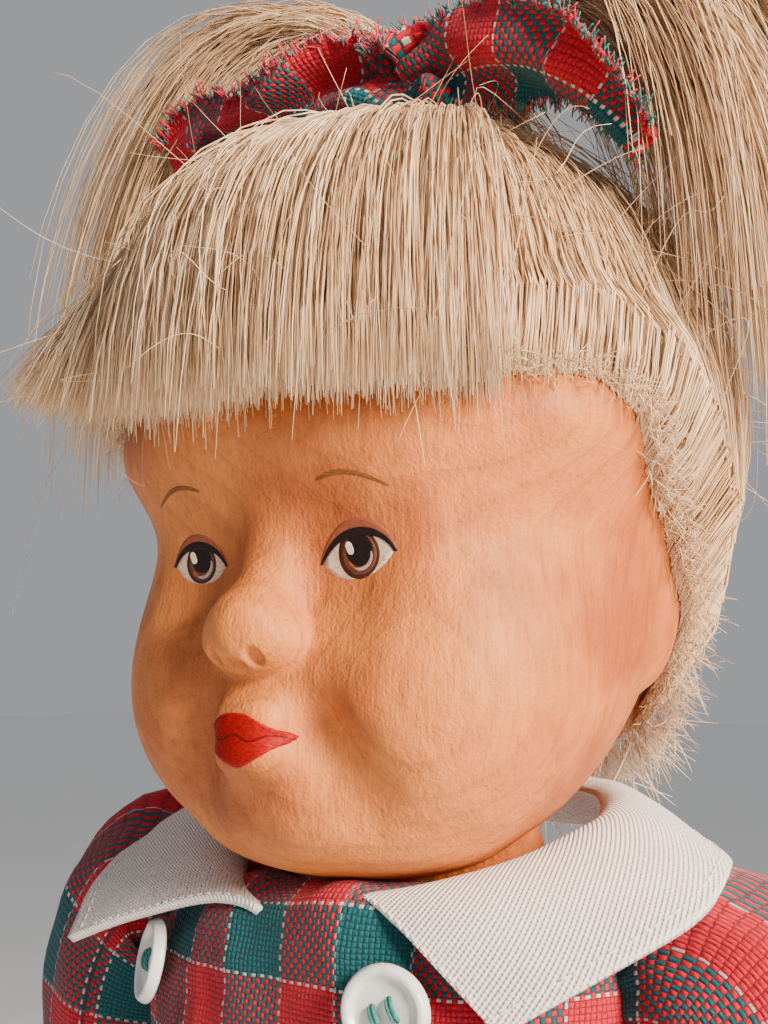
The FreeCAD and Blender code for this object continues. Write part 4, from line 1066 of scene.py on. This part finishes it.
def build_romper_body(plaid):
    """The romper's puffy trunk, from the neckline to the seat."""
    rows, turns = 150, 260
    table = smooth_rows(BODY_ROWS, rows)
    turn = np.linspace(-math.pi, math.pi, turns, endpoint=False)
    x, y = super_ring(turn[None], table[:, 1:2], table[:, 2:3], table[:, 4:5])
    points = np.stack((x, y + table[:, 3:4], np.repeat(table[:, :1], turns, 1)), -1)
    front = turns // 2
    step = np.linalg.norm(np.diff(points, axis=1, append=points[:, :1]), axis=2)
    across = np.concatenate((np.zeros((rows, 1)), np.cumsum(step, 1)[:, :-1]), 1)
    across -= across[:, front : front + 1]
    down = np.cumsum(np.linalg.norm(np.diff(points[:, front], axis=0, prepend=points[:1, front]), axis=1))
    cloth = np.stack((across + 2.5, np.repeat(-down[:, None], turns, 1) + 5.5), -1)  # sets the checks' places
    flat = points.reshape(-1, 3)
    faces = grid_faces(rows, turns, wrapped=True)[:, ::-1]
    normals = face_normals_at(flat, faces)
    if (normals * (flat - (0, 0, 250))).sum() < 0:
        faces, normals = faces[:, ::-1], -normals
    share = smoothstep(0, 0.08, np.repeat(np.linspace(0, 1, rows), turns))
    folds = ripples(flat * (1, 1, 0.45), 0.75, 17, 4) + ripples(flat, 0.35, 7, 5)
    flat = flat + normals * (folds * (0.25 + 0.75 * share))[:, None]
    item = cloth_piece("romper_body_cloth", flat, faces, 0.7, cloth, plaid, "torso", ("romper_body",))


def frames_along(path):
    """Two crossways directions at each point of a path, turning as little as they can."""
    tangent = np.gradient(path, axis=0)
    tangent /= np.linalg.norm(tangent, axis=1, keepdims=True)
    first = np.array((0, -1.0, 0))
    crosswise = []
    for direction in tangent:
        first = first - direction * (first @ direction)
        first = first / np.linalg.norm(first)
        crosswise.append(first)
    crosswise = np.array(crosswise)
    return crosswise, np.cross(tangent, crosswise)


def tube_cloth(path, radius, turns, pleat, pleats, wave, size, seed):
    """A gathered tube of cloth along a path: its points, faces, and places on the flat cloth."""
    first, second = frames_along(path)
    turn = np.linspace(0, 2 * math.pi, turns, endpoint=False)
    uneven = np.sin(turn * pleats) * (0.7 + 0.3 * np.sin(turn * 5 + 1))
    r = radius[:, None] + pleat[:, None] * uneven[None]
    c, s = np.cos(turn)[None, :, None], np.sin(turn)[None, :, None]
    ring = r[..., None] * (c * first[:, None] + s * second[:, None])
    points = path[:, None] + ring
    cloth = np.stack(np.broadcast_arrays(turn * radius.max(), -lengths_along(path)[:, None]), -1)
    faces = grid_faces(len(path), turns, wrapped=True)
    flat = points.reshape(-1, 3)
    normals = face_normals_at(flat, faces)
    if (normals * ring.reshape(-1, 3)).sum() < 0:
        faces, normals = faces[:, ::-1], -normals
    return flat + normals * ripples(flat, size, wave, seed)[:, None], faces, cloth


def build_sleeves(plaid):
    """Puffed sleeves, each along rows of x, y, height and radius."""
    rows = 64
    for side, tag in ((1, "left"), (-1, "right")):
        high = 0.0 if side > 0 else 5.0  # the cloth stands higher on the doll's right shoulder
        table = smooth_rows(
            ((30.5, 1, 290 + high, 10.5), (36, 0.5, 292.5 + high, 13.4), (42.5, 0, 293 + high, 16 + high / 4),
             (48, -0.5, 287 + high / 2, 17.4), (50, 0.5, 276, 17.2), (51, 1.5, 266, 16),
             (51.4, 2, 258.5, 13.2), (51.6, 2, 255.5, 12.8)), rows)
        path = table[:, :3] * (side, 1, 1)
        share = np.linspace(0, 1, rows)
        pleat = 0.55 * smoothstep(0.35, 0.0, share) + 0.6 * smoothstep(0.62, 0.95, share)
        flat, faces, cloth = tube_cloth(path, table[:, 3], 180, pleat, 26, 11, 0.55, 20 + side)
        arm = f"{tag}_upper_arm"
        item = cloth_piece(f"sleeve_cloth_{tag}", flat, faces, 0.7, cloth, plaid, arm, (f"{tag}_sleeve",))


def build_romper_legs(plaid):
    """Short full legs, gathered at the hem."""
    low, high = box_mm("left_romper_leg")
    hip_x = (low[0] + high[0]) / 2
    rows, gap = 70, 0.35  # gap keeps the two legs apart at the middle
    share = np.linspace(0, 1, rows)
    radius = 17.5 + 2.4 * smoothstep(0, 0.3, share) + 0.8 * np.sin(math.pi * share)
    radius = radius - 2.2 * smoothstep(0.86, 0.93, share) + 1.2 * smoothstep(0.95, 1.0, share)
    pleat = 0.15 + 0.85 * smoothstep(0.6, 0.95, share)
    for side, tag in ((1, "left"), (-1, "right")):
        z = np.linspace(181, low[2] - 1, rows)
        path = np.stack((np.full(rows, side * (hip_x + 0.6)), np.full(rows, AXIS_Y), z), 1)
        flat, faces, cloth = tube_cloth(path, radius, 200, pleat, 24, 13, 0.5, 30 + side)
        inward = side * flat[:, 0] < gap
        flat[inward, 0] = side * gap
        nodes = (f"{tag}_romper_leg",)
        item = cloth_piece(f"romper_leg_cloth_{tag}", flat, faces, 0.7, cloth, plaid, None, nodes)
        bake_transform(item)


# The collar's fold and its outer edge, from the doll's left front, round the nape, to its right front.
COLLAR_FOLD = (
    (5.8, -25.6, 308.2), (13.2, -21.5, 309.2), (19.4, -13, 311), (22.8, -4, 313.6), (22.6, 6, 316),
    (15.5, 16.5, 318), (0, 21, 319), (-15.5, 16.5, 319), (-22.6, 6, 318), (-23, -4, 315),
    (-19.4, -13, 311.6), (-13.4, -22, 308.4), (-6.4, -27, 306),
)
COLLAR_EDGE = (
    (27.5, -28, 293.6), (35.5, -23.5, 298.8), (43.6, -14, 305), (44, -3, 309.4), (38.5, 8, 310.2),
    (24, 24, 310.5), (0, 32, 310.5), (-25, 24, 311.5), (-38, 8, 312), (-42, -5, 311.6),
    (-43.4, -13, 307.6), (-42.8, -21, 302.4), (-40.4, -27.5, 296.8),
)


def build_collar(twill, thread):
    """A turned-down collar of white twill with rounded outer corners, stitched near its edge."""
    total, columns = 300, 40
    fold = smooth_rows(COLLAR_FOLD, total)
    edge = smooth_rows(COLLAR_EDGE, total)
    r = np.linspace(0, 1, columns)[None, :, None]
    points = fold[:, None] * (1 - r) + edge[:, None] * r
    slope = np.cross(np.gradient(points, axis=0), np.gradient(points, axis=1))
    slope /= np.linalg.norm(slope, axis=2, keepdims=True)
    slope *= np.sign(slope[..., 2:3])
    roll = 1.5 * np.sin(math.pi * r**0.7)
    points = points + slope * roll + slope * ripples(points, 0.22, 15, 9)[..., None]
    points[..., 2] -= 2.2 * (1 - r[..., 0]) ** 8
    along = lengths_along((fold + edge) / 2)
    width = np.linalg.norm(edge - fold, axis=1)
    cloth = np.stack((np.repeat(along[:, None], columns, 1), width[:, None] * r[..., 0]), -1)
    flat = points.reshape(-1, 3)
    faces = grid_faces(total, columns)
    normals = face_normals_at(flat, faces)
    if normals[:, 2].sum() < 0:
        faces, normals = faces[:, ::-1], -normals
    item = cloth_piece("collar_cloth", flat, faces, 1.25, cloth, twill, "torso", ("collar",))
    grid = (flat + normals * 0.02).reshape(total, columns, 3)
    seam = columns - 4  # the column that the stitches follow
    stitches = []
    for path in (grid[:, seam], grid[2, 3:seam], grid[total - 3, 3:seam]):
        stitches.extend(dashes(path, 1.5, 0.62))
    short_tubes("collar_stitches", stitches, 0.15, thread, "torso")


def dashes(path, pitch, share):
    """Short rows of points along a path, one for each stitch."""
    length = lengths_along(path)
    rows = []
    for start in np.arange(0.3, length[-1] - pitch, pitch):
        at = start + pitch * share * np.linspace(0, 1, 5)
        rows.append(np.stack([np.interp(at, length, path[:, k]) for k in range(3)], -1))
    return rows


def short_tubes(name, rows, radius, material, body, nodes=(), sides=6):
    """Round threads with closed ends along rows of points."""
    points, faces = [], []
    for row in rows:
        row = np.asarray(row, float)
        first, second = frames_along(row)
        turn = np.linspace(0, 2 * math.pi, sides, endpoint=False)
        c, s = np.cos(turn)[None, :, None], np.sin(turn)[None, :, None]
        swell = np.sin(math.pi * np.linspace(0.12, 0.88, len(row))) ** 0.4
        ring = (radius * swell)[:, None, None] * (c * first[:, None] + s * second[:, None])
        start = sum(len(p) for p in points)
        points.append((row[:, None] + ring).reshape(-1, 3))
        points.append(row[[0, -1]])
        quads = grid_faces(len(row), sides, wrapped=True) + start
        hub = start + len(row) * sides
        k = np.arange(sides)
        beside = (k + 1) % sides
        last = start + (len(row) - 1) * sides
        faces.append(cut_quads(quads))
        faces.append(np.stack((np.full(sides, hub), start + beside, start + k), 1))
        faces.append(np.stack((np.full(sides, hub + 1), last + k, last + beside), 1))
    mesh = new_mesh(name, np.concatenate(points), np.concatenate(faces))
    piece(name, mesh, material, body, nodes)


def revolved(profile, turns, wobble=0.0, seed=0):
    """Points and faces of a closed profile of (radius, height) turned about +Z."""
    profile = np.asarray(profile, float)
    turn = np.linspace(0, 2 * math.pi, turns, endpoint=False)
    source = np.random.default_rng(seed)
    oval = np.sin(2 * turn + source.uniform(0, 6))
    wave = 1 + wobble * (oval + 0.6 * np.sin(3 * turn + source.uniform(0, 6)))
    r = profile[:, :1] * wave[None]
    points = np.stack((r * np.cos(turn), r * np.sin(turn), np.repeat(profile[:, 1:], turns, 1)), -1)
    return points.reshape(-1, 3), grid_faces(len(profile), turns, wrapped=True)


def button_mesh(name, rim, thick, seed):
    """A button with a rolled rim, its back at height 0."""
    profile = (
        (0.02, 0.0), (rim * 0.7, 0.0), (rim * 0.9, 0.15), (rim, 0.55), (rim * 0.985, 0.55 + 0.35 * thick),
        (rim * 0.93, 0.93 * thick), (rim * 0.86, thick), (rim * 0.79, 0.96 * thick),
        (rim * 0.72, 0.74 * thick), (rim * 0.64, 0.6 * thick), (rim * 0.3, 0.56 * thick),
        (0.02, 0.56 * thick),
    )
    points, faces = revolved(smooth_rows(profile, 60), 96, wobble=0.012, seed=seed)
    return new_mesh(name, points, faces)


BODY_FRONT = smooth_rows(BODY_ROWS, 400)


def front_y(x, z):
    """The y of the romper's front at an x and a height."""
    wide, deep, middle, power = (np.interp(-z, -BODY_FRONT[:, 0], BODY_FRONT[:, k]) for k in range(1, 5))
    return middle - deep * max(1 - abs(x / wide) ** power, 0) ** (1 / power)


def body_front(x, z):
    """Where the romper's cloth lies at an x and a height, and which way it faces."""
    slope_x = (front_y(x + 1, z) - front_y(x - 1, z)) / 2
    slope_z = (front_y(x, z + 1) - front_y(x, z - 1)) / 2
    normal = np.array((slope_x, -1, slope_z))
    return np.array((x, front_y(x, z), z)), normal / np.linalg.norm(normal)


def build_snaps(steel):
    """Three domed snaps down the middle of the back."""
    profile = (
        (0.02, 1.5), (1.4, 1.45), (2.2, 1.2), (2.7, 0.9), (3.0, 0.5), (3.05, 0.2), (2.9, 0.0), (0.02, 0.0),
    )
    points, faces = revolved(smooth_rows(profile, 40), 64)
    upright = points[:, (0, 2, 1)]
    for row in range(3):
        z = 290 - 24 * row
        y = -front_y(0, z) - 2 + 0.6  # the trunk's middle is 1 mm forward, and the snaps stand 0.6 mm proud
        mesh = new_mesh(f"snap_{row + 1}", upright + (0, y, z), faces)
        piece(f"snap_{row + 1}", mesh, steel, "torso", ("back_snaps",) if row == 0 else ())


def button_places():
    """Two columns of three buttons: each one's place, the way it faces, and how far it has turned."""
    places = []
    for row in range(3):
        for x, tilt in ((13.8, 0.1), (-26.4, -0.25)):
            at, normal = body_front(x, 294.3 - 21 * row)
            places.append((at + normal * 0.9, normal, 0.35 + 0.8 * row + tilt))
    return places


HOLE = 1.15  # each hole's distance from both middle lines of its button


def build_buttons(places, cream, thread, hole):
    """Milky buttons, each with four holes drawn as discs of painted shade, and two stitches of teal thread."""
    threads, holes = [], []
    for number, (at, normal, turn) in enumerate(places):
        axis = np.array(normal) / np.linalg.norm(normal)
        level = np.cross(np.array((0, 0, 1.0)), axis)
        level /= np.linalg.norm(level)
        upward = np.cross(axis, level)
        c, s = math.cos(turn), math.sin(turn)
        right, upward = level * c + upward * s, upward * c - level * s
        frame_of = np.stack((right, upward, axis), 1)
        mesh = button_mesh(f"button_{number + 1}", 5.4, 1.9, number)
        place = Matrix([list(frame_of[k]) + [at[k] * MM] for k in range(3)] + [[0, 0, 0, 1]])
        mesh.transform(place)
        nodes = ("buttons",) if number == 0 else ()
        piece(f"button_{number + 1}", mesh, cream, "torso", nodes)
        for x in (-HOLE, HOLE):
            for y in (-HOLE, HOLE):
                # Each hole is a dark disc level with the button's face: painted shade standing in for the depth of
                # the hole.
                ring = np.array(((x, y, 0.95), (x, y, 1.13)))
                holes.append(at + ring @ frame_of.T)
            for shift in (-0.26, 0.26):
                t = np.linspace(-1, 1, 11)
                arch = 1.0 + 0.75 * np.sqrt(np.clip(1 - t**2, 0, 1))
                row = np.stack((np.full(11, x + shift), 1.35 * t, arch), 1)
                threads.append(at + row @ frame_of.T)
    short_tubes("button_holes", holes, 0.62, hole, "torso", sides=16)
    nodes = ("button_threads",)
    short_tubes("button_stitches", threads, 0.27, thread, "torso", nodes, sides=8)


# Ribbon.


def frayed_strip(name, path, across, width, material, fold, seed, nodes=()):
    """A torn, folded and crumpled strip of cloth along a path, and what its loose threads start from."""
    source = np.random.default_rng(seed)
    rows, columns = 110, 26
    path = smooth_rows(path, rows)
    across = smooth_rows(across, rows)
    tangent = np.gradient(path, axis=0)
    tangent /= np.linalg.norm(tangent, axis=1, keepdims=True)
    across = across - tangent * (across * tangent).sum(1, keepdims=True)
    across /= np.linalg.norm(across, axis=1, keepdims=True)
    normal = np.cross(tangent, across)
    width = np.interp(np.linspace(0, 1, rows), np.linspace(0, 1, len(width)), width)
    v = np.linspace(-0.5, 0.5, columns)
    length = lengths_along(path)
    jag = source.normal(0, 0.45, (rows, 2))
    torn = np.where(v[None] < 0, jag[:, :1], jag[:, 1:]) * np.abs(v[None] * 2) ** 6
    reach = width[:, None] * v[None] + torn
    curve = fold * (np.cos(2 * math.pi * v[None] * 1.3 + source.uniform(0, 6) + length[:, None] * 0.12))
    points = path[:, None] + across[:, None] * reach[..., None] + normal[:, None] * curve[..., None]
    points += normal[:, None] * ripples(points, 0.6, 7, seed + 50)[..., None]
    cloth = np.stack((np.repeat(length[:, None], columns, 1) + 2.0 + seed * 3.1, reach + 1.5), -1)
    faces = grid_faces(rows, columns)
    flat = points.reshape(-1, 3)
    return cloth_piece(name, flat, faces, 0.45, cloth, material, "head", nodes), points, across, normal


def ribbon_fringe(name, points, across, normal, material, seed, every=1):
    """Loose warp threads that stick out of both edges of a strip."""
    source = np.random.default_rng(seed)
    rows = []
    for edge, sign in ((0, -1), (-1, 1)):
        for k in range(1, len(points) - 1, every):
            for _ in range(2):
                start = points[k, edge] + source.normal(0, 0.15, 3)
                along = (points[k + 1, edge] - points[k - 1, edge]) * source.normal(0, 0.6)
                out = sign * across[k] * source.uniform(0.5, 2.4) + normal[k] * source.normal(0, 0.5) + along
                curl = source.normal(0, 0.3, 3)
                t = np.linspace(0, 1, 5)[:, None]
                rows.append(start - sign * across[k] * 0.4 + out * t + curl * t**2)
    short_tubes(name, rows, 0.13, material, "head", sides=4)


def build_ribbon(plaid, red_thread, teal_thread):
    """A torn strip of the same checked cloth round the knot: a band, a crumpled knot and two loose ends."""
    turn = np.linspace(0, 2 * math.pi, 26)
    middle = KNOT + (0, 0, 1.0)
    ring = middle + np.stack((9.8 * np.sin(turn), -9.8 * np.cos(turn), 0.9 * np.sin(2 * turn)), 1)
    sway = np.stack((0.2 * np.sin(turn * 3), 0.2 * np.cos(turn * 2), 0 * turn), 1)
    front = middle + (0, -11, 0)
    strips = (  # name, middle line, which way the cloth's width points, its widths, its fold, its seed
        ("ribbon_band", ring, sway + (0, 0, 1.0), (7.5, 8.5, 7, 8, 7.5), 0.9, 3),
        ("ribbon_knot", front + np.array(((-7, 1.5, 1), (-4, -1, 3), (0, -2.6, 0), (4, -1.5, 3), (8, 1, 1))),
         ((0, 0.2, 1), (0.2, 0, 1), (0, -0.3, 1), (-0.3, 0, 1), (0, 0.2, 1)), (8, 12, 14, 12, 9), 2.2, 5),
        ("ribbon_end_left", front + np.array(
            ((2, -1, 1), (9, -2.5, 2.5), (18, -3.5, 1.5), (26, -3.5, -1.5), (33, -2, -8), (37.5, -1, -14.5))),
         ((0, 0, 1), (0, -0.3, 1), (0.2, -0.6, 0.9), (0.3, -0.7, 0.7), (0.4, -0.7, 0.6), (0.5, -0.7, 0.5)),
         (8, 12, 14, 12.5, 11, 6), 1.7, 7),
        ("ribbon_end_right", front + np.array(
            ((-2, -1, 2), (-9, -3.5, 4), (-17, -4.5, 2.5), (-26, -3.5, 1), (-35, -2, 2.5),
             (-43, -1.5, -0.5))),
         ((0, 0, 1), (0, -0.2, 1), (-0.1, -0.5, 0.9), (-0.1, -0.6, 0.8), (0, -0.7, 0.7), (0.1, -0.8, 0.6)),
         (8, 12, 11, 9, 11, 8), 2.2, 8),
    )
    for number, (name, path, across, width, fold, seed) in enumerate(strips):
        nodes = ("hair_ribbon",) if number == 0 else ()
        item, points, across, normal = frayed_strip(name, path, across, width, plaid, fold, seed, nodes)
        threads = (red_thread, teal_thread) if number % 2 else (teal_thread, red_thread)
        fringe = f"ribbon_threads_{number + 1}"
        ribbon_fringe(fringe, points, across, normal, threads[0], 60 + number)
        ribbon_fringe(f"{fringe}_more", points, across, normal, threads[1], 80 + number, every=2)


# Socks.


def build_socks(knit):
    """Ribbed socks with a turned-down top."""
    rows, turns, ribs = 90, 220, 42
    turn = np.linspace(0, 2 * math.pi, turns, endpoint=False)
    for side, tag in ((1, "left"), (-1, "right")):
        top = box_mm(f"{tag}_sock")[1][2]
        x = side * joint_at("left_hip")[0]
        table = smooth_rows(  # height, radius
            ((13, 9.6), (22, 9.7), (34, 10), (top - 6, 10.3), (top - 1, 10.9), (top + 0.6, 11.6),
             (top - 1.6, 12.2), (top - 8, 12), (top - 10, 11.3)), rows)
        r = table[:, 1:] + 0.16 * np.sin(turn * ribs)[None]
        z = np.repeat(table[:, :1], turns, 1)
        points = np.stack((x + r * np.sin(turn), AXIS_Y - r * np.cos(turn), z), -1)
        cloth = np.stack(np.broadcast_arrays(turn * 10, lengths_along(table)[:, None]), -1)
        flat = points.reshape(-1, 3)
        flat = flat + np.stack((ripples(flat, 0.25, 9, 3), ripples(flat, 0.25, 9, 4), 0 * flat[:, 0]), 1)
        faces = grid_faces(rows, turns, wrapped=True)
        shin, nodes = f"{tag}_shin", (f"{tag}_sock",)
        item = cloth_piece(f"sock_knit_{tag}", flat, faces, 0.6, cloth, knit, shin, nodes)


# Camera and light.


def build_stage():
    """A pale floor, a soft key light from the right of the camera, a weak fill and a pale sky."""
    far = 9000
    corners = np.array(((-far, -far, 0), (far, -far, 0), (far, far, 0), (-far, far, 0)))
    floor = new_mesh("floor", corners, [(0, 1, 2, 3)])
    paper = Shader("floor_paper", roughness=0.9)
    paper.colour(paper.mix(paper.noise(paper.place(), 0.01), srgb(246, 245, 243), srgb(250, 249, 247)))
    item = bpy.data.objects.new("floor", floor)
    bpy.context.scene.collection.objects.link(item)
    floor.materials.append(paper.material)

    world = bpy.data.worlds.new("sky")
    bpy.context.scene.world = world
    world.use_nodes = True
    world.node_tree.nodes["Background"].inputs["Color"].default_value = (0.94, 0.96, 1.0, 1)
    world.node_tree.nodes["Background"].inputs["Strength"].default_value = 0.38

    def lamp(name, at, target, size, power, colour):
        light = bpy.data.lights.new(name, "AREA")
        light.size = size * MM
        light.energy = power
        light.color = colour
        item = bpy.data.objects.new(name, light)
        item.location = Vector(at) * MM
        item.rotation_euler = (Vector(target) - Vector(at)).to_track_quat("-Z", "Y").to_euler()
        bpy.context.scene.collection.objects.link(item)

    face = (0, -20, 330)
    lamp("key", (660, -170, 590), face, 220, 20, (1, 0.86, 0.7))
    lamp("fill", (-500, -700, 420), face, 700, 0.5, (0.9, 0.95, 1))
    lamp("back", (250, 600, 800), (0, 0, 340), 300, 6, (1, 0.95, 0.88))


def build_camera():
    camera = bpy.data.cameras.new("camera")
    camera.lens = 50
    camera.sensor_width = 36
    camera.clip_start = 0.005
    item = bpy.data.objects.new("camera", camera)
    bpy.context.scene.collection.objects.link(item)
    azimuth, pitch = math.radians(35.5), math.radians(6.5)
    item.location = Vector((109.1, -163.3, 332)) * MM
    item.rotation_euler = (math.pi / 2 + pitch, 0, azimuth)
    bpy.context.scene.camera = item


build_stage()
build_camera()
maple = wood_material("oiled_maple")
build_head(maple)
paints = face_paints()
for side in (1, -1):
    build_eye(side, paints)
build_mouth(paints)
hair = hair_material()
build_underhair(underhair_material())
build_swept_hair(hair)
build_fringe(hair)
build_tails(hair)
build_flyaways(hair)
build_short_ends(hair)

red, teal = srgb(196, 6, 40), srgb(2, 86, 94)
plaid = plaid_material("checked_cotton", red, teal)
ribbon_cloth = plaid_material("ribbon_cotton", red, teal, check=8.0)
twill = twill_material()
knit = knit_material()
white_thread = thread_material("white_thread", srgb(244, 236, 230), srgb(206, 196, 190))
teal_thread = thread_material("teal_thread", srgb(34, 132, 128), srgb(16, 92, 92))
red_thread = thread_material("red_thread", srgb(214, 34, 66), srgb(164, 18, 46))
cream = plastic_material("button_white", srgb(226, 226, 224), srgb(204, 206, 206))
# The dark grey of the button holes is painted shade.
hole_shade_paint = plastic_material("button_hole_shade", srgb(70, 66, 66), srgb(50, 46, 46))
build_romper_body(plaid)
build_sleeves(plaid)
build_romper_legs(plaid)
build_collar(twill, white_thread)
build_ribbon(ribbon_cloth, red_thread, teal_thread)
build_socks(knit)
steel = metal_material()
build_snaps(steel)
build_buttons(button_places(), cream, teal_thread, hole_shade_paint)

finish = {
    "maple": maple,
    "steel": steel,
    "checked_cotton": plaid,
    "white_twill": twill,
    "button_white": cream,
    "teal_thread": teal_thread,
    "wig_base": underhair_material(),
    "blonde_hair": hair,
    "white_knit": knit,
    "shoe_leather": leather_material("shoe_leather", srgb(74, 34, 26), srgb(46, 20, 16)),
    "sole_leather": leather_material("sole_leather", srgb(150, 106, 66), srgb(112, 76, 46), 0.6),
    "shoe_button_black": plastic_material("shoe_button_black", srgb(30, 26, 26), srgb(18, 16, 16)),
}
slots = {part["node"]: part["material_slot"] for part in frame["record"]["subparts"]}
for name, node in frame["nodes"].items():
    node.data.materials.clear()
    node.data.materials.append(finish[slots[name]])
